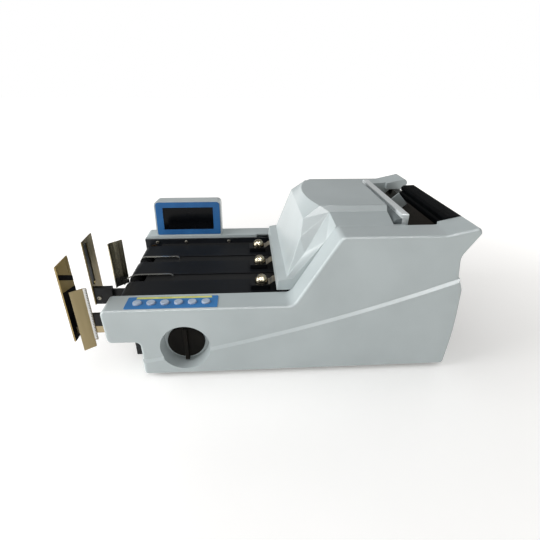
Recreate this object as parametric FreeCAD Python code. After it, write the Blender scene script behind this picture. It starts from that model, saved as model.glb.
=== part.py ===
import FreeCAD
import Part
import math
import os

# Sheet counting machine, millimetres.
# While building: X runs along the ledges, Y from the near face, Z from the housings' lower edge.

# Overall
body_width = 310.0
wall_depth = 43.0
skin = 3.0
edge_round = 4.0
proud_round = 5.0
cut_over = 1.0
same_place = 1e-6
sew_tolerance = 0.01
foot_height = 6.0
part_gap = 0.3
run_clearance = 0.05

# Side housing outline
base_left = 42.0
base_right = 495.0
bulge = 4.0
bulge_height = 64.0
waist_height = 131.0
neck_right = 487.0
neck_rise = 20.0
throat_right = 483.0
throat_rise = 30.0
tip_right = 504.0
tip_low_rise = 2.0
tip_back = 499.0
tip_rise = 9.6
shoulder_right = 457.0
shoulder_height = 213.0
shoulder_left = 318.6
slope_foot = 258.6
ledge_left = -5.0
ledge_height = 111.0
overhang_height = 56.0
overhang_lean = 2.0
base_round = 6.0
bulge_round = 500.0
waist_round = 12.0
neck_round = 20.0
tip_round = 5.0
shoulder_tail_round = 30.0
shoulder_round = 10.0
slope_foot_round = 14.0
ledge_end_round = 8.0
overhang_round = 7.0
tip_cheek_left = 464.0
tip_cheek_depth = 8.0

# Raised lower panel of the side wall
panel_step = 3.0
panel_bevel = 4.5
crease_left = (46.0, 26.3)
crease_middle = (272.0, 77.6)
crease_right = (485.0, 148.0)
crease_left_slope = 0.25
crease_right_slope = 0.42
mouth_height = 9.0

# Chassis sheet metal
base_thick = 2.0
plate_thick = 3.0
plate_left = -3.5
plate_right = 478.0
plate_top_drop = 5.0
plate_foot_left = 21.0
plate_foot_rise = 1.5
head_plate_left = 372.0
head_plate_right = 419.5
head_plate_drop = 17.0
head_plate_step = 50.0
plate_chute_drop = 8.0
shaft_pass = 1.0
bar_lug_rise = 1.0
bar_lug_left = 243.0
bar_lug_right = 262.0
deck_thick = 2.0
deck_flange = 14.0
deck_left = 29.0
deck_right = 282.0

# Delivery belts and rollers
belt_drop = 13.0
belt_thick = 2.0
belt_gap = 22.0
belt_side_gap = 15.0
pulley_radius = 11.0
belt_inner_gap = 0.3
nose_axis_x = 12.0
drive_axis_x = 302.0
roller_shaft_radius = 4.0
bush_wall = 3.0
bush_flange = 2.0
bush_flange_width = 2.5
bush_seat_gap = 0.02

# Hold-down balls
ball_radius = 10.0
ball_axis_x = 218.0
ball_belt_gap = 0.3
cage_gap = 0.4
cage_left_reach = 17.0
cage_right_reach = 13.0
cage_half_width = 12.5
cage_floor_gap = 1.0
cage_height = 7.0
cage_corner = 2.0
leaf_thick = 0.8
leaf_half_width = 9.0
leaf_hump = 4.0
leaf_foot = 3.0
leaf_steps = 8
cage_bar_x = 252.0
cage_bar_radius = 4.0
cage_bar_rise = 6.5

# Stack fingers between the belts, the middle one with an angled end plate
finger_width = 4.0
finger_thick = 1.2
finger_rise = 3.0
finger_bend = 5.0
finger_tail_drop = 18.0
finger_tail_left = -7.0
finger_flat_start = 20.0
finger_flat_end = 67.0
finger_end_run = 6.0
finger_curve_steps = 6
finger_offset = 5.0
far_finger_drop = 1.0
far_finger_left = 6.0
end_plate_near_x = -13.5
end_plate_far_x = 1.0
end_plate_near_inset = 9.0
end_plate_thick = 1.5
end_plate_lip_x = 1.0
end_plate_lip_y = 4.5
end_plate_drop = 10.0
end_plate_height = 76.5

# Stack stops
stop_face_x = -52.0
blade_thick = 2.0
near_blade_width = 37.0
mid_blade_width = 39.0
mid_blade_reach = 13.0
near_blade_low = 52.0
near_blade_high = 172.0
near_blade_y = 17.0
near_arm_y = 26.0
arm_thick = 5.0
near_arm_drop = 19.0
near_post_left = -42.0
near_post_fold = -28.5
near_post_right = -23.5
near_post_depth = 10.0
near_post_low = 37.0
near_post_high = 135.0
post_sheet = 1.5
post_notch = 12.0
mid_arm_offset = 4.5
mid_arm_gap = 1.2
mid_blade_low = 58.0
mid_blade_high = 169.0
slot_width = 13.0
slot_low = 92.0
slot_high = 164.0
slot_side = 9.5
slot_back = 1.0
clamp_length = 28.0
clamp_depth = 8.0
clamp_low = 58.0
clamp_gap = 0.5
stop_screw_radius = 3.5
stop_screw_height = 2.5
stop_slot_width = 1.0
stop_slot_depth = 1.2
clamp_screw_radius = 3.2
clamp_screw_height = 2.0
clamp_screw_inset = 6.5
socket_radius = 2.2
socket_sink = 1.5

# Dial, pinions and racks
dial_x = 105.0
dial_z = 46.5
recess_radius = 36.5
recess_floor_radius = 31.5
recess_depth = 20.0
dial_radius = 27.0
dial_face_depth = 15.0
dial_floor_gap = 1.0
dial_bar_width = 6.0
dial_bar_rise = 4.5
dial_bar_inset = 2.0
dial_pointer = 2.5
dial_edge = 1.5
dial_bar_edge = 1.2
dial_shaft_radius = 4.0
gear_module = 1.5
pinion_teeth = 20
pinion_width = 9.0
pressure_angle = 20.0
tooth_backlash = 0.3
root_clearance = 0.375
flank_steps = 4
rack_overrun = 12.0
stop_travel_out = 35.0
stop_travel_in = 12.0
dial_post_thick = 4.0
dial_post_width = 30.0
dial_post_head = 9.0
guide_length = 14.0
guide_depth = 6.0

# Top cover
cover_gap = 0.5
cover_skin = 3.0
cover_skin_along = 3.9
cover_open_depth = 15.0
cover_right = 400.0
cover_top_rise = 17.0
cover_lip_rise = 3.0
cover_lip_left = 239.0
cover_lip_lean = 2.0
cover_lip_height = 15.5
cover_lip_slope = 0.167
cover_floor_drop = 13.0
cover_inside_x = 322.0
cover_floor_x = 262.0
cover_lip_end = 6.5
cover_front_x = 254.0
cover_brow_x = 273.0
cover_brow_drop = 23.0
cover_brow_in = 18.5
cover_crown_x = 278.0
cover_crown_drop = 1.0
cover_crown_in = 34.5
cover_top_in = 38.5
cover_top_x = 302.0
cover_top_bulge = 15.0
cover_shoulder_in = 32.5
cover_shoulder_rise = 9.0
cover_shoulder_x = 315.5
cover_fold_x = 279.5
cover_fold_drop = 44.0
cover_fold_in = 9.5
cover_seam_foot_x = 262.0
cover_seam_drop = 21.0
crown_steps = 10
hinge_x = 411.0
hinge_cover_wall = 1.5
hinge_pin_radius = 3.0
hinge_pin_reach = 9.0
hinge_ear_radius = 6.5
hinge_ear_width = 5.0

# Hopper and feed head
gate_left = 414.0
gate_right = 425.0
gate_rise = 11.0
gate_foot_rise = 12.0
gate_end_inset = 14.0
gate_edge = 1.5
barrel_gap = 0.5
barrel_inset = 9.5
chute_thick = 1.5
chute_low_x = 420.0
chute_feed_rise = 18.0
chute_high_x = 476.0
chute_drop = 10.0
chute_lip = 14.0
rest_bar_gap = 50.0
rest_bar_height = 18.6
rest_bar_front = 473.5
rest_bar_back = 500.0
rest_lip_rise = 6.5
rest_groove_depth = 3.0
rest_groove_height = 3.0
rest_head_set = 1.5
rest_corner = 3.0
rest_crown = 1.0
rest_tuck = 8.0
guide_plate_thick = 2.0
guide_plate_rise = 26.0
guide_plate_gap = 0.4
guide_low_inset = 12.0
guide_high_inset = 4.0
guide_gate_gap = 1.0
guide_rest_set = 41.0
feed_axis_x = 394.0
feed_axis_z = 134.0
feed_tyre_radius = 20.0
feed_hub_radius = 13.0
feed_shaft_radius = 5.0
feed_tyre_width = 26.0
retard_radius = 14.0
retard_gap = 0.6
retard_shaft_radius = 4.0
sensor_x = 336.0
sensor_size = 16.0

# Drive
motor_x = 240.0
motor_drop = 4.0
motor_radius = 26.0
motor_length = 62.0
motor_shaft_radius = 3.0
motor_pulley_radius = 10.0
drive_pulley_radius = 14.0
timing_width = 8.0
timing_thick = 1.5
timing_gap = 0.3
timing_flange = 1.0
pulley_offset = 8.0
pulley_spacing = 12.0
window_margin = 24.0

# Electrics
board_thick = 1.6
board_left = 120.0
board_length = 90.0
board_width = 80.0
board_near = 150.0
standoff_height = 6.0
standoff_radius = 3.0
relay_inset = 10.0
relay_length = 24.0
relay_width = 18.0
relay_height = 18.0
chip_inset_x = 48.0
chip_inset_y = 34.0
chip_size = 20.0
chip_height = 2.5
supply_left = 340.0
supply_length = 110.0
supply_width = 70.0
supply_height = 42.0
supply_near = 60.0
panel_thick = 2.0
vent_count = 9
vent_first = 150.0
vent_pitch = 9.0
vent_width = 3.5
vent_low = 24.0
vent_length = 44.0
inlet_y = 96.0
inlet_z = 46.0
inlet_width = 28.0
inlet_height = 48.0
inlet_depth = 24.0
inlet_flange = 4.0
inlet_flange_thick = 3.0
socket_width = 20.0
socket_height = 14.0
socket_depth = 16.0
contact_pitch = 5.7
contact_thick = 2.0
contact_height = 4.0
contact_setback = 3.0
rocker_width = 14.0
rocker_height = 20.0
rocker_gap = 0.4
rocker_rise = 3.0
rocker_depth = 7.0
rocker_angle = 6.0
rocker_pin_radius = 1.5
rocker_pin_seat = 0.5
rocker_root = 5.5
rocker_edge = 1.0
rocker_room = 3.0

# Keypad
keypad_left = 27.0
keypad_length = 127.0
keypad_near = 7.0
keypad_width = 30.0
keypad_thick = 0.8
keypad_corner = 2.0
key_count = 6
key_pitch = 19.0
key_first = 15.6
key_line = 13.0
key_radius = 6.0
key_rise = 2.6
key_edge = 1.2
key_gap = 0.3
key_flange = 1.2
key_flange_thick = 1.2
key_travel = 1.0
key_stem = 3.0
strip_length = 106.0
strip_width = 5.0
strip_inset = 12.0
strip_thick = 0.3
strip_edge = 1.0
key_board_margin = 4.0
switch_body = 7.0
switch_height = 2.0

# Display
display_left = 19.5
display_width = 127.5
display_height = 69.0
display_depth = 34.0
display_round = 8.0
display_lean = 5.0
display_wall = 2.5
display_front_wall = 3.0
display_edge = 2.5
overlay_thick = 0.6
overlay_margin = 2.5
overlay_round = 6.0
window_width = 96.0
window_height = 43.0
window_gap = 0.2
display_front_inset = 2.0

# Feet and plate screws
foot_radius = 11.0
foot_taper = 2.0
foot_inset_x = 26.0
foot_inset_y = 22.0
screw_head_radius = 3.2
screw_head_height = 1.6
screw_drop = 6.5
screw_places = (20.0, 76.0, 160.0)

# Derived heights and lines
middle_y = body_width / 2.0
near_inner = wall_depth
far_inner = body_width - wall_depth
near_plate = near_inner + plate_thick
far_plate = far_inner - plate_thick
neck_height = waist_height + neck_rise
throat_height = neck_height + throat_rise
tip_low = shoulder_height + tip_low_rise
tip_high = shoulder_height + tip_rise
head_plate_height = shoulder_height - head_plate_drop
gate_height = shoulder_height + gate_rise
gate_low = head_plate_height - gate_foot_rise
cover_top = shoulder_height + cover_top_rise
cover_inside_floor = shoulder_height - cover_floor_drop
slope_lean = (shoulder_left - slope_foot) / (shoulder_height - ledge_height)
cover_seam_x = shoulder_left - cover_seam_drop * slope_lean
chute_low_z = feed_axis_z + chute_feed_rise
chute_high_z = shoulder_height - chute_drop
rest_bar_far = far_inner - rest_bar_gap
belt_width = (far_plate - near_plate - 2 * belt_side_gap - 2 * belt_gap) / 3.0
belt_pitch = belt_width + belt_gap
belt_top = ledge_height - belt_drop
roller_axis_z = belt_top - belt_thick - pulley_radius
belt_lines = [middle_y - belt_pitch, middle_y, middle_y + belt_pitch]
belt_names = ["near", "mid", "far"]
deck_top = belt_top - belt_thick - belt_inner_gap
base_edge = panel_step + skin + part_gap
inlet_face = plate_right + panel_thick + inlet_flange_thick
pitch_radius = gear_module * pinion_teeth / 2.0
pitch_line = dial_z + pitch_radius
rack_tip = pitch_line - gear_module
near_arm_height = ledge_height - near_arm_drop - rack_tip
mid_arm_height = roller_axis_z - roller_shaft_radius - mid_arm_gap - rack_tip
motor_z = roller_axis_z - pulley_radius - belt_thick - motor_drop - motor_radius
clamp_high = belt_top - end_plate_drop - clamp_gap
finger_gap_near = middle_y - belt_pitch / 2.0
finger_gap_far = middle_y + belt_pitch / 2.0
mid_arm_y = finger_gap_near - mid_arm_offset
near_pinion_y = near_arm_y + arm_thick / 2.0
mid_pinion_y = mid_arm_y + arm_thick / 2.0
hinge_z = shoulder_height - hinge_cover_wall - hinge_pin_radius
timing_first = far_inner + pulley_offset
timing_second = timing_first + pulley_spacing


def vec(x, y, z):
    return FreeCAD.Vector(x, y, z)


def box(x0, y0, z0, x1, y1, z1):
    return Part.makeBox(x1 - x0, y1 - y0, z1 - z0, vec(x0, y0, z0))


def rod_x(y, z, radius, x0, x1):
    return Part.makeCylinder(radius, x1 - x0, vec(x0, y, z), vec(1, 0, 0))


def rod_y(x, z, radius, y0, y1):
    return Part.makeCylinder(radius, y1 - y0, vec(x, y0, z), vec(0, 1, 0))


def rod_z(x, y, radius, z0, z1):
    return Part.makeCylinder(radius, z1 - z0, vec(x, y, z0), vec(0, 0, 1))


def prism_y(points, y0, y1):
    corners = [vec(x, y0, z) for x, z in points]
    face = Part.Face(Part.makePolygon(corners + corners[:1]))
    return face.extrude(vec(0, y1 - y0, 0))


def fuse(first, *others):
    return first.fuse(list(others)).removeSplitter()


def mirror_across(shape):
    return shape.mirror(vec(0, middle_y, 0), vec(0, 1, 0))


# A closed outline in the XZ plane whose corners (x, z, radius) are joined by tangent arcs
def rounded_wire(corners, y):
    edges = []
    joints = []
    count = len(corners)
    for i, (x, z, radius) in enumerate(corners):
        before = corners[i - 1]
        after = corners[(i + 1) % count]
        point = vec(x, y, z)
        to_before = vec(before[0] - x, 0, before[1] - z).normalize()
        to_after = vec(after[0] - x, 0, after[1] - z).normalize()
        half = to_before.getAngle(to_after) / 2.0
        reach = radius / math.tan(half)
        inward = (to_before + to_after).normalize()
        crest = point + inward * (radius / math.sin(half) - radius)
        joints.append((point + to_before * reach, crest, point + to_after * reach))
    for i, (start, crest, end) in enumerate(joints):
        edges.append(Part.Arc(start, crest, end).toShape())
        edges.append(Part.LineSegment(end, joints[(i + 1) % count][0]).toShape())
    return Part.Wire(edges)


# A bent strip of sheet that follows (x, z) points, with its thickness on the left of the path
def bent_strip(points, thick, y0, y1):
    offset = []
    for i, (x, z) in enumerate(points):
        directions = []
        if i > 0:
            directions.append((x - points[i - 1][0], z - points[i - 1][1]))
        if i < len(points) - 1:
            directions.append((points[i + 1][0] - x, points[i + 1][1] - z))
        normals = []
        for dx, dz in directions:
            length = math.hypot(dx, dz)
            normals.append((-dz / length, dx / length))
        nx = sum(n[0] for n in normals)
        nz = sum(n[1] for n in normals)
        scale = thick * len(normals) / (nx * nx + nz * nz)
        offset.append((x + nx * scale, z + nz * scale))
    return prism_y(points + offset[::-1], y0, y1)


def polyhedron(faces):
    shells = []
    for corners in faces:
        points = [vec(*corner) for corner in corners]
        shells.append(Part.Face(Part.makePolygon(points + points[:1])))
    shell = Part.makeShell(shells)
    shell.sewShape()
    solid = Part.makeSolid(shell)
    solid.fix(sew_tolerance, sew_tolerance, sew_tolerance)
    if solid.Volume < 0:
        solid.reverse()
    return solid


# Side housings

def housing_corners():
    return [
        (base_left, 0.0, base_round),
        (base_right, 0.0, base_round),
        (base_right + bulge, bulge_height, bulge_round),
        (base_right, waist_height, waist_round),
        (neck_right, neck_height, neck_round),
        (throat_right, throat_height, neck_round),
        (tip_right, tip_low, tip_round),
        (tip_back, tip_high, tip_round),
        (shoulder_right, shoulder_height, shoulder_tail_round),
        (shoulder_left, shoulder_height, shoulder_round),
        (slope_foot, ledge_height, slope_foot_round),
        (ledge_left, ledge_height, ledge_end_round),
        (ledge_left + overhang_lean, overhang_height, overhang_round),
        (base_left, overhang_height, ledge_end_round),
    ]


def rounded_block(front, radius):
    wire = rounded_wire(housing_corners(), front)
    block = Part.Face(wire).extrude(vec(0, wall_depth - front, 0))
    rim = [e for e in block.Edges if all(abs(v.Y - front) < same_place for v in e.Vertexes)]
    return block.makeFillet(radius, rim)


# The region above the crease line, as a closed wire lowered by a drop
def above_crease(y, drop):
    margin = body_width
    left = vec(crease_left[0] - margin, y, crease_left[1] - drop - margin * crease_left_slope)
    start = vec(crease_left[0], y, crease_left[1] - drop)
    middle = vec(crease_middle[0], y, crease_middle[1] - drop)
    end = vec(crease_right[0], y, crease_right[1] - drop)
    right = vec(crease_right[0] + margin, y, crease_right[1] - drop + margin * crease_right_slope)
    high = tip_high + margin
    edges = [
        Part.LineSegment(left, start).toShape(),
        Part.Arc(start, middle, end).toShape(),
        Part.LineSegment(end, right).toShape(),
        Part.LineSegment(right, vec(right.x, y, high)).toShape(),
        Part.LineSegment(vec(right.x, y, high), vec(left.x, y, high)).toShape(),
        Part.LineSegment(vec(left.x, y, high), left).toShape(),
    ]
    return Part.Wire(edges)


def plain_housing():
    proud = rounded_block(0.0, proud_round)
    upper = rounded_block(panel_step, edge_round)
    start = above_crease(-panel_step, 2 * panel_bevel)
    bevel = Part.makeLoft([start, above_crease(panel_step, 0.0)], True, True)
    behind = Part.Face(above_crease(panel_step, 0.0)).extrude(vec(0, proud_round, 0))
    stock = bevel.fuse(behind)
    shape = proud.cut(stock.cut(upper))
    inner = Part.Face(rounded_wire(housing_corners(), panel_step + skin)).makeOffset2D(-skin)
    cavity = inner.extrude(vec(0, wall_depth - panel_step - 2 * skin, 0))
    left = base_left + skin
    right = base_right - skin
    mouth = box(left, panel_step + skin, -cut_over, right, wall_depth - skin, mouth_height)
    rebate = box(left, panel_step + skin, -cut_over, right, wall_depth + cut_over, base_thick)
    shape = shape.cut([cavity, mouth, rebate])
    cheek = Part.Face(rounded_wire(housing_corners(), wall_depth)).extrude(vec(0, tip_cheek_depth, 0))
    cheek = cheek.common(box(tip_cheek_left, 0, chute_high_z + part_gap, tip_right, body_width, tip_high))
    return shape.fuse(cheek).removeSplitter()


def key_centres():
    y = keypad_near + key_line
    return [(keypad_left + key_first + i * key_pitch, y) for i in range(key_count)]


def housing_near():
    shape = plain_housing()
    cup = rod_y(dial_x, dial_z, recess_radius + skin, edge_round, recess_depth + skin)
    shape = shape.fuse(cup)
    widen = (recess_radius - recess_floor_radius) / recess_depth * cut_over
    mouth = vec(dial_x, -cut_over, dial_z)
    depth = recess_depth + cut_over
    tools = [Part.makeCone(recess_radius + widen, recess_floor_radius, depth, mouth, vec(0, 1, 0))]
    tools.append(rod_y(dial_x, dial_z, dial_shaft_radius + run_clearance, 0.0, recess_depth + 2 * skin))
    y0 = wall_depth - 2 * skin
    tools.append(rod_y(dial_x, dial_z, dial_shaft_radius + shaft_pass, y0, wall_depth + cut_over))
    low = rack_tip - part_gap
    high = rack_tip + near_arm_height + part_gap
    y1 = near_arm_y + arm_thick + part_gap
    x1 = ledge_left + overhang_lean + 2 * skin
    tools.append(box(ledge_left - skin, near_arm_y - part_gap, low, x1, y1, high))
    for x, y in key_centres():
        tools.append(rod_z(x, y, key_radius + key_gap, ledge_height - 2 * skin, ledge_height + cut_over))
    tools.append(hinge_hole(wall_depth - 2 * skin, wall_depth + cut_over))
    return shape.cut(tools)


def housing_far():
    shape = mirror_across(plain_housing())
    left = motor_x - window_margin
    right = feed_axis_x + window_margin
    drop = motor_z - window_margin
    rise = feed_axis_z + window_margin
    window = box(left, far_inner - cut_over, drop, right, far_inner + skin + cut_over, rise)
    return shape.cut([window, hinge_hole(far_inner - cut_over, far_inner + 2 * skin)])


def hinge_hole(y0, y1):
    return rod_y(hinge_x, hinge_z, hinge_pin_radius, y0, y1)


# Chassis

def plate_outline():
    top = ledge_height - plate_top_drop
    return [
        (plate_foot_left, base_thick + plate_foot_rise),
        (plate_foot_left, overhang_height),
        (plate_left, overhang_height + plate_foot_left - plate_left),
        (plate_left, top),
        (bar_lug_left, top),
        (bar_lug_left, ledge_height + bar_lug_rise),
        (bar_lug_right, ledge_height + bar_lug_rise),
        (head_plate_left, head_plate_height - head_plate_step),
        (head_plate_left, head_plate_height),
        (head_plate_right, head_plate_height),
        (head_plate_right, chute_low_z - plate_chute_drop),
        (plate_right, chute_low_z - plate_chute_drop),
        (plate_right, base_thick),
        (base_left + skin + part_gap, base_thick),
        (base_left + skin + part_gap, base_thick + plate_foot_rise),
    ]


def shaft_places():
    return [
        (nose_axis_x, roller_axis_z, roller_shaft_radius),
        (drive_axis_x, roller_axis_z, roller_shaft_radius),
        (feed_axis_x, feed_axis_z, feed_shaft_radius),
    ]


def retard_z():
    return feed_axis_z + feed_tyre_radius + retard_gap + retard_radius


def chassis_plate(y0, bushes):
    y1 = y0 + plate_thick
    plate = prism_y(plate_outline(), y0, y1)
    tools = [rod_y(x, z, r + bush_wall, y0 - cut_over, y1 + cut_over) for x, z, r in bushes]
    tools.append(rod_y(feed_axis_x, retard_z(), retard_shaft_radius, y0 - cut_over, y1 + cut_over))
    tools.append(rod_y(cage_bar_x, cage_bar_z(), cage_bar_radius, y0 - cut_over, y1 + cut_over))
    return plate.cut(tools)


def chassis_plate_near():
    dial = (dial_x, dial_z, dial_shaft_radius)
    return chassis_plate(near_inner, shaft_places() + [dial])


def chassis_plate_far():
    plate = chassis_plate(far_plate, shaft_places())
    radius = motor_shaft_radius + shaft_pass
    return plate.cut(rod_y(motor_x, motor_z, radius, far_plate - cut_over, far_inner + cut_over))


def bush(x, z, radius, plate_y, inward):
    outer = radius + bush_wall - bush_seat_gap
    face = plate_y + plate_thick if inward > 0 else plate_y
    flange_end = face + inward * bush_flange
    sleeve = rod_y(x, z, outer, plate_y, plate_y + plate_thick)
    flange = rod_y(x, z, outer + bush_flange_width, min(face, flange_end), max(face, flange_end))
    reach = bush_flange + cut_over
    bore = rod_y(x, z, radius + run_clearance, plate_y - reach, plate_y + plate_thick + reach)
    return fuse(sleeve, flange).cut(bore)


def roller_bushes():
    near = [bush(x, z, r, near_inner, 1) for x, z, r in shaft_places()]
    far = [bush(x, z, r, far_plate, -1) for x, z, r in shaft_places()]
    dial = [bush(dial_x, dial_z, dial_shaft_radius, near_inner, 1)]
    return Part.makeCompound(near + far + dial)


def base_plate():
    left = base_left + skin + part_gap
    right = base_right - skin - part_gap
    sheet = box(left, base_edge, 0.0, right, body_width - base_edge, base_thick)
    behind = plate_right + panel_thick
    notch = box(behind, near_inner, -cut_over, right + cut_over, far_inner, base_thick + cut_over)
    upstand = box(left, near_plate, base_thick, left + base_thick, far_plate, overhang_height)
    return fuse(sheet.cut(notch), upstand)


def end_panel():
    top = chute_high_z - chute_thick
    panel = box(plate_right, near_inner, base_thick, plate_right + panel_thick, far_inner, top)
    low = inlet_z - inlet_height / 2.0
    half = inlet_width / 2.0
    x0 = plate_right - cut_over
    x1 = plate_right + panel_thick + cut_over
    tools = [box(x0, inlet_y - half, low, x1, inlet_y + half, low + inlet_height)]
    for i in range(vent_count):
        y0 = vent_first + i * vent_pitch
        tools.append(box(x0, y0, vent_low, x1, y0 + vent_width, vent_low + vent_length))
    return panel.cut(tools)


def deck():
    top = box(deck_left, near_plate, deck_top - deck_thick, deck_right, far_plate, deck_top)
    near = box(deck_left, near_plate, deck_top - deck_flange, deck_right, near_plate + deck_thick, deck_top)
    far = box(deck_left, far_plate - deck_thick, deck_top - deck_flange, deck_right, far_plate, deck_top)
    return fuse(top, near, far)


# Loop of belt round two pulleys whose axes run along Y
def belt_loop(first, second, inner_first, inner_second, thick, y0, y1):
    def band(grow):
        ra = inner_first + grow
        rb = inner_second + grow
        dx = second[0] - first[0]
        dz = second[1] - first[1]
        span = math.hypot(dx, dz)
        heading = math.atan2(dz, dx)
        lean = math.acos((ra - rb) / span)

        def on(centre, radius, angle):
            return vec(centre[0] + radius * math.cos(angle), y0, centre[1] + radius * math.sin(angle))

        up = heading + lean
        down = heading - lean
        edges = [
            Part.LineSegment(on(first, ra, up), on(second, rb, up)).toShape(),
            Part.Arc(on(second, rb, up), on(second, rb, heading), on(second, rb, down)).toShape(),
            Part.LineSegment(on(second, rb, down), on(first, ra, down)).toShape(),
            Part.Arc(on(first, ra, down), on(first, ra, heading + math.pi), on(first, ra, up)).toShape(),
        ]
        return Part.Face(Part.Wire(edges)).extrude(vec(0, y1 - y0, 0))

    return band(thick).cut(band(0.0))


def delivery_belt(line):
    inner = pulley_radius + belt_inner_gap
    thick = belt_thick - belt_inner_gap
    first = (nose_axis_x, roller_axis_z)
    second = (drive_axis_x, roller_axis_z)
    return belt_loop(first, second, inner, inner, thick, line - belt_width / 2.0, line + belt_width / 2.0)


def belt_roller(axis_x, far_end):
    shaft = rod_y(axis_x, roller_axis_z, roller_shaft_radius, near_inner + part_gap, far_end)
    half = belt_width / 2.0
    pulleys = [rod_y(axis_x, roller_axis_z, pulley_radius, y - half, y + half) for y in belt_lines]
    return fuse(shaft, *pulleys)


def nose_roller():
    return belt_roller(nose_axis_x, far_inner - part_gap)


def timing_pulley(x, z, radius, y):
    half = timing_width / 2.0
    wheel = rod_y(x, z, radius, y - half - part_gap, y + half + part_gap)
    rim = radius + timing_thick
    inner = rod_y(x, z, rim, y - half - part_gap - timing_flange, y - half - part_gap)
    outer = rod_y(x, z, rim, y + half + part_gap, y + half + part_gap + timing_flange)
    return [wheel, inner, outer]


def drive_roller():
    roller = belt_roller(drive_axis_x, timing_second + timing_width)
    first = timing_pulley(drive_axis_x, roller_axis_z, drive_pulley_radius, timing_first)
    second = timing_pulley(drive_axis_x, roller_axis_z, drive_pulley_radius, timing_second)
    return fuse(roller, *(first + second))


def motor_pulley():
    start = far_plate - motor_length / 2.0
    shaft = rod_y(motor_x, motor_z, motor_shaft_radius, start, timing_first + timing_width)
    return fuse(shaft, *timing_pulley(motor_x, motor_z, motor_pulley_radius, timing_first))


def motor():
    body = rod_y(motor_x, motor_z, motor_radius, far_plate - motor_length, far_plate)
    start = far_plate - motor_length / 2.0 - cut_over
    return body.cut(rod_y(motor_x, motor_z, motor_shaft_radius + run_clearance, start, far_plate + cut_over))


def timing_belts():
    half = timing_width / 2.0
    motor_axis = (motor_x, motor_z)
    drive_axis = (drive_axis_x, roller_axis_z)
    feed_axis = (feed_axis_x, feed_axis_z)
    motor_inner = motor_pulley_radius + timing_gap
    drive_inner = drive_pulley_radius + timing_gap
    thick = timing_thick - timing_gap
    y0 = timing_first - half
    first = belt_loop(motor_axis, drive_axis, motor_inner, drive_inner, thick, y0, y0 + timing_width)
    y0 = timing_second - half
    second = belt_loop(drive_axis, feed_axis, drive_inner, drive_inner, thick, y0, y0 + timing_width)
    return Part.makeCompound([first, second])


# Hold-down balls

def ball_axis_z():
    return belt_top + ball_belt_gap + ball_radius


def ball(line):
    return Part.makeSphere(ball_radius, vec(ball_axis_x, line, ball_axis_z()))


def cage_bar_z():
    return belt_top + cage_bar_rise


def ball_cages():
    cages = []
    low = belt_top + cage_floor_gap
    for line in belt_lines:
        left = ball_axis_x - cage_left_reach
        right = ball_axis_x + cage_right_reach
        body = box(left, line - cage_half_width, low, right, line + cage_half_width, low + cage_height)
        corners = [e for e in body.Edges if abs(e.Vertexes[0].Z - e.Vertexes[1].Z) > same_place]
        body = body.makeFillet(cage_corner, corners)
        seat = Part.makeSphere(ball_radius + cage_gap, vec(ball_axis_x, line, ball_axis_z()))
        well = rod_z(ball_axis_x, line, ball_radius + cage_gap, low - cut_over, low + cage_height + cut_over)
        cages.append(body.cut([seat, well]))
    return Part.makeCompound(cages)


def cage_leaves():
    solids = []
    top = belt_top + cage_floor_gap + cage_height
    start = ball_axis_x + ball_radius + 2 * cage_gap
    rise = start + leaf_foot
    bar_top = cage_bar_z() + cage_bar_radius
    fall = cage_bar_x - cage_bar_radius
    arch = []
    for i in range(leaf_steps + 1):
        share = i / leaf_steps
        z = top + share * (bar_top - top) + leaf_hump * math.sin(math.pi * share)
        arch.append((rise + share * (fall - rise), z))
    path = [(start, top)] + arch + [(cage_bar_x + cage_bar_radius, bar_top)]
    for line in belt_lines:
        solids.append(bent_strip(path, leaf_thick, line - leaf_half_width, line + leaf_half_width))
    bar = rod_y(cage_bar_x, cage_bar_z(), cage_bar_radius, near_inner, far_inner)
    return Part.makeCompound([bar] + solids)


def finger_y(gap):
    return gap + finger_offset - finger_width / 2.0


# Path of a finger: a curve up from its left end, a flat top, and a curve down to its foot
def finger_path(left, low, flat_start, high, foot):
    path = []
    turns = [math.pi / 2.0 * i / finger_curve_steps for i in range(finger_curve_steps + 1)]
    for turn in turns:
        x = left + (flat_start - left) * (1.0 - math.cos(turn))
        path.append((x, low + (high - low) * math.sin(turn)))
    for turn in turns:
        x = finger_flat_end + finger_end_run * math.sin(turn)
        path.append((x, foot + (high - foot) * math.cos(turn)))
    return path


def far_finger():
    high = belt_top + finger_rise - far_finger_drop
    start = far_finger_left + finger_bend
    path = finger_path(far_finger_left, high - finger_bend, start, high, deck_top)
    y0 = finger_y(finger_gap_far)
    return bent_strip(path, finger_thick, y0, y0 + finger_width)


# The middle finger rests just above the deck and carries an upright plate set across the corner
def centre_stop():
    high = belt_top + finger_rise
    low = high - finger_tail_drop
    path = finger_path(finger_tail_left, low, finger_flat_start, high, deck_top + part_gap)
    y0 = finger_y(finger_gap_near)
    strip = bent_strip(path, finger_thick, y0, y0 + finger_width)
    foot = belt_top - end_plate_drop
    near = vec(end_plate_near_x, finger_gap_near - end_plate_near_inset, foot)
    lip = near - vec(end_plate_lip_x, end_plate_lip_y, 0)
    far = vec(end_plate_far_x, y0 + end_plate_thick, foot)
    return fuse(strip, folded_sheet([lip, near, far], end_plate_thick, end_plate_height))


# Stack stops, racks and dial

# An upright sheet whose plan follows points, with its thickness on the left of the path
def folded_sheet(points, thick, height):
    outer = []
    for i, point in enumerate(points):
        ways = []
        if i > 0:
            ways.append((point - points[i - 1]).normalize())
        if i < len(points) - 1:
            ways.append((points[i + 1] - point).normalize())
        normal = vec(-sum(w.y for w in ways), sum(w.x for w in ways), 0)
        outer.append(point + normal * (len(ways) * thick / normal.dot(normal)))
    corners = points + outer[::-1]
    return Part.Face(Part.makePolygon(corners + corners[:1])).extrude(vec(0, 0, height))


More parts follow.
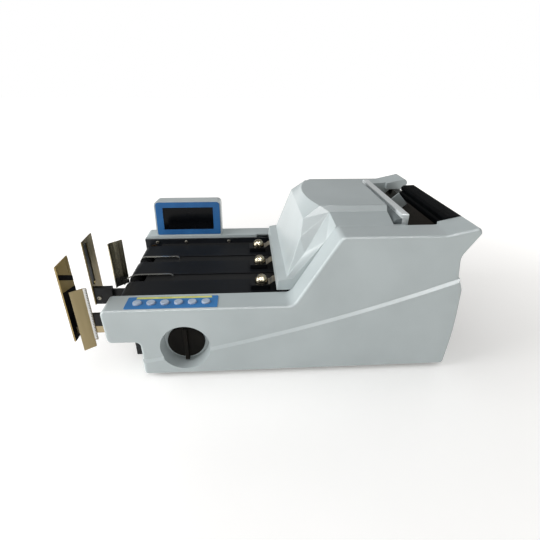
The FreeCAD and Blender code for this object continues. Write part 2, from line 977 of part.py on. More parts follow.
def involute_point(base, roll, start):
    x = base * (math.cos(roll) + roll * math.sin(roll))
    z = base * (math.sin(roll) - roll * math.cos(roll))
    return (x * math.cos(start) - z * math.sin(start), x * math.sin(start) + z * math.cos(start))


def pinion(y_middle):
    pressure = math.radians(pressure_angle)
    base = pitch_radius * math.cos(pressure)
    tip = pitch_radius + gear_module
    root = pitch_radius - gear_module - root_clearance
    half_tooth = math.pi / (2.0 * pinion_teeth) - tooth_backlash / (2.0 * pitch_radius)
    spread = half_tooth + math.tan(pressure) - pressure
    tip_roll = math.sqrt((tip / base) ** 2 - 1.0)
    flank = [involute_point(base, tip_roll * i / flank_steps, -spread) for i in range(flank_steps + 1)]
    flank.insert(0, (root * math.cos(spread), -root * math.sin(spread)))
    tooth = flank + [(x, -z) for x, z in flank[::-1]]
    outline = []
    for i in range(pinion_teeth):
        turn = math.pi / 2.0 + 2.0 * math.pi * i / pinion_teeth
        for x, z in tooth:
            px = dial_x + x * math.cos(turn) - z * math.sin(turn)
            pz = dial_z + x * math.sin(turn) + z * math.cos(turn)
            outline.append((px, pz))
    return prism_y(outline, y_middle - pinion_width / 2.0, y_middle + pinion_width / 2.0)


def dial_shaft():
    post_far = mid_pinion_y + pinion_width / 2.0 + part_gap + dial_post_thick
    shaft = rod_y(dial_x, dial_z, dial_shaft_radius, dial_face_depth + dial_bar_inset, post_far)
    return fuse(shaft, pinion(near_pinion_y), pinion(mid_pinion_y))


# Outline of an arm whose lower edge carries rack teeth over the pinion
def rack_arm(left, y0, height):
    pitch = math.pi * gear_module
    tip_half = pitch / 4.0 - tooth_backlash / 4.0 - gear_module * math.tan(math.radians(pressure_angle))
    root_depth = gear_module + root_clearance
    root_half = pitch / 4.0 - tooth_backlash / 4.0 + root_depth * math.tan(math.radians(pressure_angle))
    tip_z = pitch_line - gear_module
    root_z = pitch_line + root_depth
    reach_left = stop_travel_in + rack_overrun
    reach_right = stop_travel_out + rack_overrun
    first = -math.floor(reach_left / pitch)
    last = math.floor(reach_right / pitch)
    points = [(left, tip_z)]
    for i in range(first, last):
        tooth = dial_x + (i + 0.5) * pitch
        if i == first:
            points.append((tooth - pitch + tip_half, tip_z))
            points.append((tooth - pitch + root_half, root_z))
        points.append((tooth - root_half, root_z))
        points.append((tooth - tip_half, tip_z))
        points.append((tooth + tip_half, tip_z))
        points.append((tooth + root_half, root_z))
    right = dial_x + (last + 0.5) * pitch
    points.append((right - root_half, root_z))
    points.append((right - tip_half, tip_z))
    points.append((right, tip_z))
    points.append((right, tip_z + height))
    points.append((left, tip_z + height))
    return prism_y(points, y0, y0 + arm_thick)


def near_arm():
    return rack_arm(stop_face_x, near_arm_y, near_arm_height)


def near_blade():
    x0 = stop_face_x - blade_thick
    y1 = near_blade_y + near_blade_width
    return box(x0, near_blade_y, near_blade_low, stop_face_x, y1, near_blade_high)


def near_post():
    back = near_arm_y - post_sheet
    points = [
        vec(near_post_left, back - near_post_depth, near_post_low),
        vec(near_post_fold, back, near_post_low),
        vec(near_post_right, back, near_post_low),
    ]
    sheet = folded_sheet(points, post_sheet, near_post_high - near_post_low)
    x1 = near_post_right + cut_over
    y0 = back - cut_over
    top = near_post_low + post_notch
    return sheet.cut(box(near_post_fold, y0, near_post_low - cut_over, x1, near_arm_y + cut_over, top))


def mid_arm():
    return rack_arm(stop_face_x, mid_arm_y, mid_arm_height)


def mid_blade_near():
    return mid_arm_y + arm_thick / 2.0 - mid_blade_reach


# The long slot of the middle blade, between two planes across X
def blade_slot(x0, x1):
    centre = mid_blade_near() + slot_side
    half = slot_width / 2.0
    slot = box(x0, centre - half, slot_low + half, x1, centre + half, slot_high - half)
    ends = [rod_x(centre, z, half, x0, x1) for z in (slot_low + half, slot_high - half)]
    return fuse(slot, *ends)


def mid_blade():
    y0 = mid_blade_near()
    back = stop_face_x - blade_thick
    body = box(back, y0, mid_blade_low, stop_face_x, y0 + mid_blade_width, mid_blade_high)
    return body.cut(blade_slot(back - cut_over, stop_face_x + cut_over))


# The clamp block, and the dark strip that closes the back of the blade's slot
def mid_clamp():
    x1 = stop_face_x + clamp_length
    block = box(stop_face_x, mid_arm_y - clamp_depth, clamp_low, x1, mid_arm_y, clamp_high)
    back = stop_face_x - blade_thick
    return Part.makeCompound([block, blade_slot(back, back + slot_back)])


# A slotted screw head standing out of a face towards the near side, or the far side when away is 1
def screw_head_y(x, z, y_face, away):
    tip = y_face + away * stop_screw_height
    head = rod_y(x, z, stop_screw_radius, min(y_face, tip), max(y_face, tip))
    floor = tip - away * stop_slot_depth
    over = tip + away * cut_over
    half = stop_slot_width / 2.0
    x0 = x - stop_screw_radius
    x1 = x + stop_screw_radius
    return head.cut(box(x0, min(floor, over), z - half, x1, max(floor, over), z + half))


# Socket screws through the clamp, one head on each side
def mid_screws():
    x = stop_face_x + clamp_screw_inset
    z = rack_tip + mid_arm_height / 2.0
    heads = []
    for face, away in ((mid_arm_y - clamp_depth, -1), (mid_arm_y + arm_thick, 1)):
        tip = face + away * clamp_screw_height
        floor = tip - away * socket_sink
        head = rod_y(x, z, clamp_screw_radius, min(face, tip), max(face, tip))
        heads.append(head.cut(rod_y(x, z, socket_radius, min(floor, tip), max(floor, tip))))
    return Part.makeCompound(heads)


def near_screws():
    x = (near_post_fold + near_post_right) / 2.0
    face = near_arm_y + arm_thick
    z = rack_tip + near_arm_height / 2.0
    spread = near_arm_height / 4.0
    return Part.makeCompound([screw_head_y(x, z + d, face, 1) for d in (-spread, spread)])


def arm_guides():
    solids = []
    y0 = near_arm_y + arm_thick + part_gap
    x0 = base_left + skin
    for x in (x0, dial_x + 2 * pitch_radius):
        solids.append(box(x, y0, rack_tip, x + guide_length, wall_depth - skin, rack_tip + near_arm_height))
    y1 = mid_arm_y + arm_thick + part_gap
    for x in (x0, dial_x + 2 * pitch_radius):
        solids.append(box(x, y1, rack_tip, x + guide_length, y1 + guide_depth, deck_top - deck_thick))
    return Part.makeCompound(solids + [dial_post()])


def dial_post():
    y0 = mid_pinion_y + pinion_width / 2.0 + part_gap
    y1 = y0 + dial_post_thick
    half = dial_post_width / 2.0
    x0 = dial_x - half
    x1 = dial_x + half
    post = box(x0, y0, base_thick, x1, y1, dial_z + dial_post_head)
    foot = box(x0, y0, base_thick, x1, y0 + dial_post_width, base_thick + dial_post_thick)
    bore = rod_y(dial_x, dial_z, dial_shaft_radius + run_clearance, y0 - cut_over, y1 + cut_over)
    return fuse(post, foot).cut(bore)


def dial_knob():
    back = recess_depth - dial_floor_gap
    disc = rod_y(dial_x, dial_z, dial_radius, dial_face_depth, back)
    rim = [e for e in disc.Edges if all(abs(v.Y - dial_face_depth) < same_place for v in e.Vertexes)]
    disc = disc.makeFillet(dial_edge, rim)
    half = dial_bar_width / 2.0
    low = dial_z - dial_radius - dial_pointer
    high = dial_z + dial_radius - dial_bar_inset
    y0 = dial_face_depth - dial_bar_rise
    bar = box(dial_x - half, y0, low, dial_x + half, dial_face_depth + dial_bar_inset, high)
    edges = [e for e in bar.Edges if all(v.Y < dial_face_depth for v in e.Vertexes)]
    bar = bar.makeFillet(dial_bar_edge, edges)
    bore = rod_y(dial_x, dial_z, dial_shaft_radius, dial_face_depth + dial_bar_inset, back + cut_over)
    return fuse(disc, bar).cut(bore)


# Top cover

def cover_shell(in_x, in_y, in_z, drop):
    floor = cover_inside_floor - drop
    lip_low = ledge_height + cover_lip_rise
    lip_high = lip_low + cover_lip_height
    edge = near_inner + cover_gap + in_y
    right = cover_right - in_x
    shoulder = shoulder_height - in_z

    def lip_z(x):
        return lip_high + (x - cover_lip_left - cover_lip_lean) * cover_lip_slope - in_z

    def at(x, inset, z):
        return (x + in_x, near_inner + cover_gap + inset + in_y, z - in_z)

    def far(point):
        return (point[0], 2 * middle_y - point[1], point[2])

    def both(points):
        return [points, [far(p) for p in points[::-1]]]

    def across(first, second):
        return [first, second, far(second), far(first)]

    bottom_0 = (cover_lip_left + in_x, edge, lip_low - drop)
    bottom_1 = (cover_floor_x + in_x, edge, lip_low - drop)
    bottom_2 = (cover_inside_x + in_x, edge, floor)
    bottom_3 = (right, edge, floor)
    lip_front = (cover_lip_left + cover_lip_lean + in_x, edge, lip_high - in_z)
    seam_foot = (cover_seam_foot_x + in_x, edge, lip_z(cover_seam_foot_x))
    front = (cover_front_x + in_x, edge + cover_lip_end, lip_z(cover_front_x))
    fold = at(cover_fold_x, cover_fold_in, shoulder_height - cover_fold_drop)
    brow = at(cover_brow_x, cover_brow_in, shoulder_height - cover_brow_drop)
    crown = at(cover_crown_x, cover_crown_in, shoulder_height - cover_crown_drop)
    top = at(cover_top_x, cover_top_in, cover_top)
    seam = at(cover_seam_x, 0.0, shoulder_height - cover_seam_drop)
    seam_end = (shoulder_left + in_x, edge, shoulder)
    corner = (right, edge, shoulder)
    rise = at(cover_shoulder_x, cover_shoulder_in, shoulder_height + cover_shoulder_rise)
    rise_end = (right, rise[1], rise[2])
    top_end = (right, top[1], top[2])

    def rim(i):
        share = i / crown_steps
        y = top[1] + share * (far(top)[1] - top[1])
        bow = 1.0 - (2.0 * share - 1.0) ** 2
        return (top[0] - cover_top_bulge * bow, y, top[2])

    def brow_line(i):
        share = i / crown_steps
        return (crown[0], crown[1] + share * (far(crown)[1] - crown[1]), crown[2])

    faces = [
        across(bottom_0, bottom_1),
        across(bottom_1, bottom_2),
        across(bottom_2, bottom_3),
        across(lip_front, bottom_0),
        across(front, brow),
        across(brow, crown),
        [lip_front, seam_foot, front, far(front), far(seam_foot), far(lip_front)],
        [bottom_3, corner, rise_end, top_end, far(top_end), far(rise_end), far(corner), far(bottom_3)],
        [rim(i) for i in range(crown_steps + 1)] + [far(top_end), top_end],
    ]
    faces += both([bottom_0, bottom_1, bottom_2, bottom_3, corner, seam_end, seam, seam_foot, lip_front])
    faces += both([front, seam_foot, seam])
    faces += both([front, seam, fold])
    faces += both([front, fold, brow])
    faces += both([fold, seam, rise])
    faces += both([fold, rise, brow])
    faces += both([brow, rise, crown])
    faces += both([rise, top, crown])
    faces += both([seam, seam_end, rise])
    faces += both([seam_end, corner, rise_end, rise])
    faces += both([rise, rise_end, top_end, top])
    for i in range(crown_steps):
        faces.append([brow_line(i), brow_line(i + 1), rim(i)])
        faces.append([brow_line(i + 1), rim(i + 1), rim(i)])
    return polyhedron(faces)


def top_cover():
    outer = cover_shell(0.0, 0.0, 0.0, 0.0)
    inner = cover_shell(cover_skin_along, cover_skin, cover_skin, cover_open_depth)
    shell = outer.cut(inner)
    near_ear = hinge_ear(near_inner + cover_gap)
    far_ear = mirror_across(near_ear)
    shell = fuse(shell, near_ear, far_ear)
    return shell.cut(rod_y(hinge_x, hinge_z, hinge_pin_radius + run_clearance, near_inner, far_inner))


def hinge_ear(y0):
    y1 = y0 + hinge_ear_width
    lobe = rod_y(hinge_x, hinge_z, hinge_ear_radius, y0, y1)
    arm = box(cover_right - 2 * cover_skin, y0, hinge_z - hinge_ear_radius, hinge_x, y1, shoulder_height)
    return fuse(lobe, arm).common(box(0, y0, 0, tip_right, y1, shoulder_height))


def hinge_pins():
    near = hinge_hole(near_inner - skin, near_inner + hinge_pin_reach)
    return Part.makeCompound([near, mirror_across(near)])


# Hopper and feed head

# The gate, with a round barrel beside it that fills the room left by the turning cover
def gate_bar():
    low = box(gate_left, near_plate, gate_low, gate_right, far_plate, gate_low + gate_foot_rise)
    near = near_inner + gate_end_inset
    high = box(gate_left, near, gate_low, gate_right, 2 * middle_y - near, gate_height)
    bar = fuse(low, high)
    edges = [e for e in bar.Edges if all(abs(v.Z - gate_height) < same_place for v in e.Vertexes)]
    bar = bar.makeFillet(gate_edge, edges)
    near = near_inner + barrel_inset
    radius = hinge_x - cover_right - barrel_gap
    return fuse(bar, rod_y(hinge_x, hinge_z, radius, near, 2 * middle_y - near))


def hopper_chute():
    path = [
        (chute_high_x + chute_lip, chute_high_z),
        (chute_high_x, chute_high_z),
        (chute_low_x, chute_low_z),
    ]
    return bent_strip(path, chute_thick, near_inner + part_gap, far_inner - part_gap)


# Profile of the bar: a lower lip, a groove above it and a rounded head
def rest_bar():
    low = chute_high_z
    high = low + rest_bar_height
    lip = low + rest_lip_rise
    head = rest_bar_front + rest_head_set
    groove = rest_bar_front + rest_groove_depth
    points = [
        (rest_bar_front, low),
        (rest_bar_front, lip),
        (groove, lip + rest_groove_height / 2.0),
        (groove, lip + rest_groove_height),
        (head, lip + 1.5 * rest_groove_height),
        (head, high - rest_corner),
        (head + rest_corner, high),
        (rest_bar_back - rest_corner, high + rest_crown),
        (rest_bar_back, high - rest_corner),
        (rest_bar_back - rest_tuck, low),
    ]
    return prism_y(points, near_inner + tip_cheek_depth + part_gap, rest_bar_far)


# A plate standing square on the chute, cut back short of the gate
def side_guide():
    along = vec(chute_high_x - chute_low_x, 0, chute_high_z - chute_low_z).normalize()
    square = vec(-along.z, 0, along.x)
    y0 = rest_bar_far - guide_rest_set + part_gap
    low = vec(chute_low_x, y0, chute_low_z) + along * guide_low_inset + square * guide_plate_gap
    high = vec(chute_high_x, y0, chute_high_z) - along * guide_high_inset + square * guide_plate_gap
    rise = square * guide_plate_rise
    corners = [low, high, high + rise, low + rise]
    plate = Part.Face(Part.makePolygon(corners + corners[:1])).extrude(vec(0, guide_plate_thick, 0))
    return plate.common(box(gate_right + guide_gate_gap, y0, 0, tip_right, body_width, body_width))


def feed_shaft():
    end = timing_second + timing_width
    shaft = rod_y(feed_axis_x, feed_axis_z, feed_shaft_radius, near_inner + part_gap, end)
    hubs = []
    for line in belt_lines:
        half = feed_tyre_width / 2.0
        hubs.append(rod_y(feed_axis_x, feed_axis_z, feed_hub_radius, line - half, line + half))
    wheel = timing_pulley(feed_axis_x, feed_axis_z, drive_pulley_radius, timing_second)
    return fuse(shaft, *(hubs + wheel))


def feed_tyres():
    tyres = []
    half = feed_tyre_width / 2.0
    for line in belt_lines:
        tyre = rod_y(feed_axis_x, feed_axis_z, feed_tyre_radius, line - half, line + half)
        tyres.append(tyre.cut(rod_y(feed_axis_x, feed_axis_z, feed_hub_radius, line - half, line + half)))
    return Part.makeCompound(tyres)


def retard_roller():
    shaft = rod_y(feed_axis_x, retard_z(), retard_shaft_radius, near_inner, far_inner)
    half = feed_tyre_width / 2.0
    tyres = [rod_y(feed_axis_x, retard_z(), retard_radius, y - half, y + half) for y in belt_lines]
    return fuse(shaft, *tyres)


def count_sensor():
    half = sensor_size / 2.0
    low = belt_top - 2 * sensor_size
    bridge = box(sensor_x - half, near_plate, low, sensor_x + half, middle_y + half, low + half)
    head = box(sensor_x - half, middle_y - half, low + half, sensor_x + half, middle_y + half, belt_top)
    return fuse(bridge, head)


# Electrics

def circuit_boards():
    low = base_thick + standoff_height
    right = board_left + board_length
    far = board_near + board_width
    board = box(board_left, board_near, low, right, far, low + board_thick)
    inset = 2 * standoff_radius
    legs = []
    for x in (board_left + inset, right - inset):
        for y in (board_near + inset, far - inset):
            legs.append(rod_z(x, y, standoff_radius, base_thick, low))
    top = low + board_thick
    x0 = board_left + relay_inset
    y0 = board_near + relay_inset
    relay = box(x0, y0, top, x0 + relay_length, y0 + relay_width, top + relay_height)
    x0 = board_left + chip_inset_x
    y0 = board_near + chip_inset_y
    chip = box(x0, y0, top, x0 + chip_size, y0 + chip_size, top + chip_height)
    main = fuse(board, relay, chip, *legs)
    return Part.makeCompound([main, key_board(), count_sensor()])


def switch_top():
    return ledge_height - skin - key_stem - key_travel - part_gap


def key_board():
    top = switch_top() - switch_height
    x0 = keypad_left + key_board_margin
    x1 = keypad_left + keypad_length - key_board_margin
    board = box(x0, panel_step + skin, top - board_thick, x1, near_arm_y + arm_thick, top)
    half = switch_body / 2.0
    switches = []
    for x, y in key_centres():
        switches.append(box(x - half, y - half, top, x + half, y + half, top + switch_height))
    return fuse(board, *switches)


def power_supply():
    right = supply_left + supply_length
    far = supply_near + supply_width
    return box(supply_left, supply_near, base_thick, right, far, base_thick + supply_height)


def rocker_z():
    return inlet_z + inlet_height / 2.0 - rocker_height / 2.0 - inlet_flange


def power_inlet():
    half = inlet_width / 2.0 - part_gap
    low = inlet_z - inlet_height / 2.0 + part_gap
    high = inlet_z + inlet_height / 2.0 - part_gap
    face = plate_right + panel_thick
    rim = inlet_flange
    body = box(face - inlet_depth, inlet_y - half, low, face, inlet_y + half, high)
    flange = box(face, inlet_y - half - rim, low - rim, inlet_face, inlet_y + half + rim, high + rim)
    floor = inlet_face - socket_depth
    socket_z = low + inlet_flange
    y0 = inlet_y - socket_width / 2.0
    socket = box(floor, y0, socket_z, inlet_face + cut_over, y0 + socket_width, socket_z + socket_height)
    contacts = []
    for i in (-1, 0, 1):
        y0 = inlet_y + i * contact_pitch - contact_thick / 2.0
        z0 = socket_z + socket_height / 2.0 - contact_height / 2.0
        x1 = inlet_face - contact_setback
        contacts.append(box(floor, y0, z0, x1, y0 + contact_thick, z0 + contact_height))
    y0 = inlet_y - rocker_width / 2.0 - rocker_gap
    y1 = inlet_y + rocker_width / 2.0 + rocker_gap
    z0 = rocker_z() - rocker_height / 2.0 - rocker_gap
    z1 = rocker_z() + rocker_height / 2.0 + rocker_gap
    well = box(inlet_face - rocker_depth - rocker_room, y0, z0, inlet_face + cut_over, y1, z1)
    shape = fuse(body, flange).cut([socket, well])
    seat = rocker_pin_seat
    pin = rod_y(rocker_pivot_x(), rocker_z(), rocker_pin_radius, y0 - seat, y1 + seat)
    return fuse(shape, pin, *contacts)


def rocker_pivot_x():
    return inlet_face - rocker_depth / 2.0


def power_rocker():
    half = rocker_height / 2.0
    lean = half * math.tan(math.radians(rocker_angle))
    z = rocker_z()
    back = inlet_face - rocker_depth
    front = inlet_face + rocker_rise
    points = [
        (back, z - rocker_root),
        (back, z + rocker_root),
        (inlet_face - rocker_edge, z + half),
        (front, z + half - rocker_edge),
        (front - lean, z),
        (front, z - half + rocker_edge),
        (inlet_face - rocker_edge, z - half),
    ]
    y0 = inlet_y - rocker_width / 2.0
    y1 = inlet_y + rocker_width / 2.0
    bore = rod_y(rocker_pivot_x(), z, rocker_pin_radius + run_clearance, y0, y1)
    return prism_y(points, y0, y1).cut(bore)


# Keypad

def keypad_panel():
    right = keypad_left + keypad_length
    far = keypad_near + keypad_width
    panel = box(keypad_left, keypad_near, ledge_height, right, far, ledge_height + keypad_thick)
    corners = [e for e in panel.Edges if abs(e.Vertexes[0].Z - e.Vertexes[1].Z) > keypad_thick / 2.0]
    panel = panel.makeFillet(keypad_corner, corners)
    top = ledge_height + keypad_thick
    holes = [rod_z(x, y, key_radius + key_gap, ledge_height, top) for x, y in key_centres()]
    return panel.cut(holes)


def label_strip():
    low = ledge_height + keypad_thick
    far = keypad_near + keypad_width - strip_edge
    x0 = keypad_left + strip_inset
    return box(x0, far - strip_width, low, x0 + strip_length, far, low + strip_thick)


def key(x, y):
    top = ledge_height + keypad_thick + key_rise
    cap = rod_z(x, y, key_radius, ledge_height - skin, top)
    rim = [e for e in cap.Edges if all(abs(v.Z - top) < same_place for v in e.Vertexes)]
    cap = cap.makeFillet(key_edge, rim)
    flange_top = ledge_height - skin - part_gap
    neck = rod_z(x, y, key_radius - key_flange, flange_top, ledge_height - skin)
    flange = rod_z(x, y, key_radius + key_flange, flange_top - key_flange_thick, flange_top)
    stem = rod_z(x, y, key_radius / 2.0, ledge_height - skin - key_stem, flange_top)
    return fuse(cap, neck, flange, stem)


# Display

def lean_back(shape):
    pivot = vec(0, far_inner + display_front_inset, ledge_height)
    return shape.rotate(pivot, vec(1, 0, 0), -display_lean)


def display_block(y0, y1, margin, radius):
    left = display_left + margin
    right = display_left + display_width - margin
    low = ledge_height + margin
    high = ledge_height + display_height - margin
    corners = [
        (left, low, radius / 2.0),
        (right, low, radius / 2.0),
        (right, high, radius),
        (left, high, radius),
    ]
    return Part.Face(rounded_wire(corners, y0)).extrude(vec(0, y1 - y0, 0))


def window_box(y0, y1, grow):
    middle_x = display_left + display_width / 2.0
    middle_z = ledge_height + display_height / 2.0
    half_x = window_width / 2.0 + grow
    half_z = window_height / 2.0 + grow
    return box(middle_x - half_x, y0, middle_z - half_z, middle_x + half_x, y1, middle_z + half_z)


def display_case():
    front = far_inner + display_front_inset
    back = front + display_depth
    body = display_block(front, back, 0.0, display_round)
    rim = [e for e in body.Edges if all(abs(v.Y - back) < same_place for v in e.Vertexes)]
    body = body.makeFillet(display_edge, rim)
    behind = front + display_front_wall
    hollow = display_block(behind, back - display_wall, display_wall, display_round - display_wall)
    well = window_box(front - cut_over, behind + cut_over, window_gap)
    shape = lean_back(body.cut([hollow, well]))
    rise = display_depth * math.tan(math.radians(display_lean)) + display_wall
    x0 = display_left + display_round
    x1 = display_left + display_width - display_round
    foot = box(x0, behind, ledge_height, x1, back - display_round, ledge_height + rise)
    above = box(0, 0, ledge_height, tip_right, body_width, body_width)
    return fuse(shape, foot.cut(lean_back(hollow.copy()))).common(above)


def display_overlay():
    front = far_inner + display_front_inset
    sheet = display_block(front - overlay_thick, front, overlay_margin, overlay_round)
    return lean_back(sheet.cut(window_box(front - overlay_thick, front, window_gap)))


def display_window():
    front = far_inner + display_front_inset
    return lean_back(window_box(front - overlay_thick / 2.0, front + display_front_wall, 0.0))


# Feet and screws

def rubber_feet():
    feet = []
    small = foot_radius - foot_taper
    for x in (base_left + skin + foot_inset_x, plate_right - foot_inset_x):
        for y in (base_edge + foot_inset_y, body_width - base_edge - foot_inset_y):
            start = vec(x, y, -foot_height)
            feet.append(Part.makeCone(small, foot_radius, foot_height, start, vec(0, 0, 1)))
    return Part.makeCompound(feet)


def plate_screws():
    heads = []
    z = ledge_height - plate_top_drop - screw_drop
    for x in screw_places:
        heads.append(rod_y(x, z, screw_head_radius, near_plate, near_plate + screw_head_height))
        heads.append(rod_y(x, z, screw_head_radius, far_plate - screw_head_height, far_plate))
    return Part.makeCompound(heads)


nodes = {
    "base_plate": base_plate(),
    "chassis_plate_near": chassis_plate_near(),
    "chassis_plate_far": chassis_plate_far(),
    "housing_near": housing_near(),
    "housing_far": housing_far(),
    "end_panel": end_panel(),
    "deck": deck(),
    "roller_bushes": roller_bushes(),
    "nose_roller": nose_roller(),
    "drive_roller": drive_roller(),
    "motor": motor(),
    "motor_pulley": motor_pulley(),
    "timing_belts": timing_belts(),
    "ball_cages": ball_cages(),
    "cage_leaves": cage_leaves(),
    "far_finger": far_finger(),
    "centre_stop": centre_stop(),
    "near_arm": near_arm(),
    "near_blade": near_blade(),
    "near_post": near_post(),
    "near_screws": near_screws(),
    "mid_arm": mid_arm(),
    "mid_blade": mid_blade(),
    "mid_clamp": mid_clamp(),
    "mid_screws": mid_screws(),
    "arm_guides": arm_guides(),
    "dial_shaft": dial_shaft(),
    "dial_knob": dial_knob(),
    "top_cover": top_cover(),
    "hinge_pins": hinge_pins(),
    "gate_bar": gate_bar(),
    "hopper_chute": hopper_chute(),
    "rest_bar": rest_bar(),
    "side_guide": side_guide(),
    "feed_shaft": feed_shaft(),
    "feed_tyres": feed_tyres(),
    "retard_roller": retard_roller(),
    "circuit_boards": circuit_boards(),
    "power_supply": power_supply(),
    "power_inlet": power_inlet(),
    "power_rocker": power_rocker(),
    "keypad_panel": keypad_panel(),
    "label_strip": label_strip(),
    "display_case": display_case(),
    "display_overlay": display_overlay(),
    "display_window": display_window(),
    "rubber_feet": rubber_feet(),
    "plate_screws": plate_screws(),
}
for line, name in zip(belt_lines, belt_names):
    nodes["belt_" + name] = delivery_belt(line)
    nodes["ball_" + name] = ball(line)
for number, (x, y) in enumerate(key_centres(), 1):
    nodes["key_%d" % number] = key(x, y)

# The finished frame: origin under the middle of the box round the machine, on the surface it stands on
spans = [shape.optimalBoundingBox(False) for shape in nodes.values()]
centre_x = (min(span.XMin for span in spans) + max(span.XMax for span in spans)) / 2.0
os.makedirs("parts", exist_ok=True)
for name, shape in nodes.items():
    shape.translate(vec(-centre_x, -middle_y, foot_height))
    shape.exportStep("parts/%s.step" % name)
    print(name, len(shape.Solids), round(shape.Volume), shape.isValid())
print("nodes", len(nodes), "centre", round(centre_x, 3))
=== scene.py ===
import math

import bmesh
import bpy
from mathutils import Matrix, Vector


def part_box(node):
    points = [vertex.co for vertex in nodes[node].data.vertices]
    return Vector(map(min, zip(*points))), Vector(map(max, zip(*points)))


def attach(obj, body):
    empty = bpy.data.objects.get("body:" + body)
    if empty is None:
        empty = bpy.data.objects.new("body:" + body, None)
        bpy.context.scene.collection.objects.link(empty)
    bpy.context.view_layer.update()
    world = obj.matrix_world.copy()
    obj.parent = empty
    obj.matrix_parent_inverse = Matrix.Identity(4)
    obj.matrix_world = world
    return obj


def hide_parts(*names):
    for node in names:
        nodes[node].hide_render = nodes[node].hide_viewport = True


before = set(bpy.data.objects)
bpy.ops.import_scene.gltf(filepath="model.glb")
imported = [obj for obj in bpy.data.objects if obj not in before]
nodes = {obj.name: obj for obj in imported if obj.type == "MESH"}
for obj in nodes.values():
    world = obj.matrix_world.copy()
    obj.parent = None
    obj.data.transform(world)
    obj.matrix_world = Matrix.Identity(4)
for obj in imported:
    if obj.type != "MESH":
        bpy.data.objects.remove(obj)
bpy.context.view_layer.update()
print("frame loaded:", len(nodes), "nodes")


def linear(hexCode):  # sRGB hex to the linear colour that the nodes take
    parts = [int(hexCode[i:i + 2], 16) / 255 for i in (1, 3, 5)]
    return [c / 12.92 if c <= 0.04045 else ((c + 0.055) / 1.055) ** 2.4 for c in parts] + [1.0]


def perMm(size):  # texture scale for a feature of this many millimetres, on coordinates in metres
    return 1000.0 / size


def addNode(tree, kind, settings=None, links=None):
    node = tree.nodes.new(kind)
    for key, value in (settings or {}).items():
        if isinstance(key, str) and hasattr(node, key):
            setattr(node, key, value)
        else:
            node.inputs[key].default_value = value
    for key, socket in (links or {}).items():
        tree.links.new(socket, node.inputs[key])
    return node


def startFinish(name, settings):  # a material with one Principled shader, and its Object coordinates
    mat = bpy.data.materials.new(name)
    mat.use_nodes = True
    tree = mat.node_tree
    tree.nodes.clear()
    shader = addNode(tree, "ShaderNodeBsdfPrincipled", settings)
    addNode(tree, "ShaderNodeOutputMaterial", {}, {"Surface": shader.outputs["BSDF"]})
    place = addNode(tree, "ShaderNodeTexCoord").outputs["Object"]
    return mat, tree, shader, place


tintEnds = (0.32, 0.68)  # where the slow noise reaches the deep and the pale colour


def grainInto(tree, shader, place, look):
    # slow drift of colour and gloss over the surface, and a fine grain that tilts the light, sizes in millimetres
    if "stretch" in look:  # longer along the axes with a small scale
        place = addNode(tree, "ShaderNodeMapping", {"Scale": look["stretch"]}, {"Vector": place}).outputs["Vector"]
    drift = addNode(tree, "ShaderNodeTexNoise", {"Scale": perMm(look["drift"]), "Detail": 3.0}, {"Vector": place})
    tint = addNode(tree, "ShaderNodeValToRGB", {}, {"Fac": drift.outputs["Fac"]})
    for end, tone, position in zip(tint.color_ramp.elements, ("deep", "pale"), tintEnds):
        end.position = position
        end.color = linear(look[tone])
    tree.links.new(tint.outputs["Color"], shader.inputs["Base Color"])
    grain = addNode(tree, "ShaderNodeTexNoise", {"Scale": perMm(look["grain"]), "Detail": 2.0}, {"Vector": place})
    gloss = addNode(tree, "ShaderNodeMapRange", {"To Min": look["gloss"][0], "To Max": look["gloss"][1]},
                    {"Value": drift.outputs["Fac"]})
    tree.links.new(gloss.outputs["Result"], shader.inputs["Roughness"])
    bump = addNode(tree, "ShaderNodeBump", {"Strength": look["bite"], "Distance": look["depth"] / 1000.0},
                   {"Height": grain.outputs["Fac"]})
    tree.links.new(bump.outputs["Normal"], shader.inputs["Normal"])


def grained(name, look, settings):  # a finish that needs no more than drift and grain
    mat, tree, shader, place = startFinish(name, settings)
    grainInto(tree, shader, place, look)
    return mat


def lowSide(tree, place, look):  # a mask that is 1 on the low side of a line across the piece
    along = addNode(tree, "ShaderNodeSeparateXYZ", {}, {"Vector": place}).outputs[look["splitAxis"]]
    below = addNode(tree, "ShaderNodeMath", {"operation": "LESS_THAN", 1: look["splitLine"]}, {0: along})
    return below.outputs["Value"]


def splitTint(tree, shader, place, look):  # another base colour on the low side of the line
    mask = lowSide(tree, place, look)
    first = shader.inputs["Base Color"].links[0].from_socket
    mixed = addNode(tree, "ShaderNodeMix", {"data_type": "RGBA", 7: linear(look["lowTint"])}, {0: mask, 6: first})
    tree.links.new(mixed.outputs[2], shader.inputs["Base Color"])
    return mask


def retintOuterFace(tree, shader, place, look):  # a blade's outer face, left of a line through it, is retinted and fully metallic; the inner face keeps the painted tan reflection at lower metallic
    outer = lowSide(tree, place, look)
    innerTint = shader.inputs["Base Color"].links[0].from_socket
    faced = addNode(tree, "ShaderNodeHueSaturation", {"Saturation": look["outerSaturation"], "Value": look["outerValue"]},
                    {"Fac": outer, "Color": innerTint})
    tree.links.new(faced.outputs["Color"], shader.inputs["Base Color"])
    metal = addNode(tree, "ShaderNodeMapRange", {"To Min": look["innerMetallic"], "To Max": 1.0}, {"Value": outer})
    tree.links.new(metal.outputs["Result"], shader.inputs["Metallic"])


# grain that is finer than about half a millimetre on the real thing is drawn coarser, so that it shows

# moulded ABS, spark-eroded tool: pale blue-grey with a soft sheen and a faint even grain, in truth near 0.3 mm
absLook = {"deep": "#b1babb", "pale": "#bac3c4", "drift": 85.0, "grain": 1.1, "gloss": (0.27, 0.35),
           "bite": 0.10, "depth": 0.25}
mouldedAbs = grained("mouldedAbs", absLook, {"IOR": 1.53})

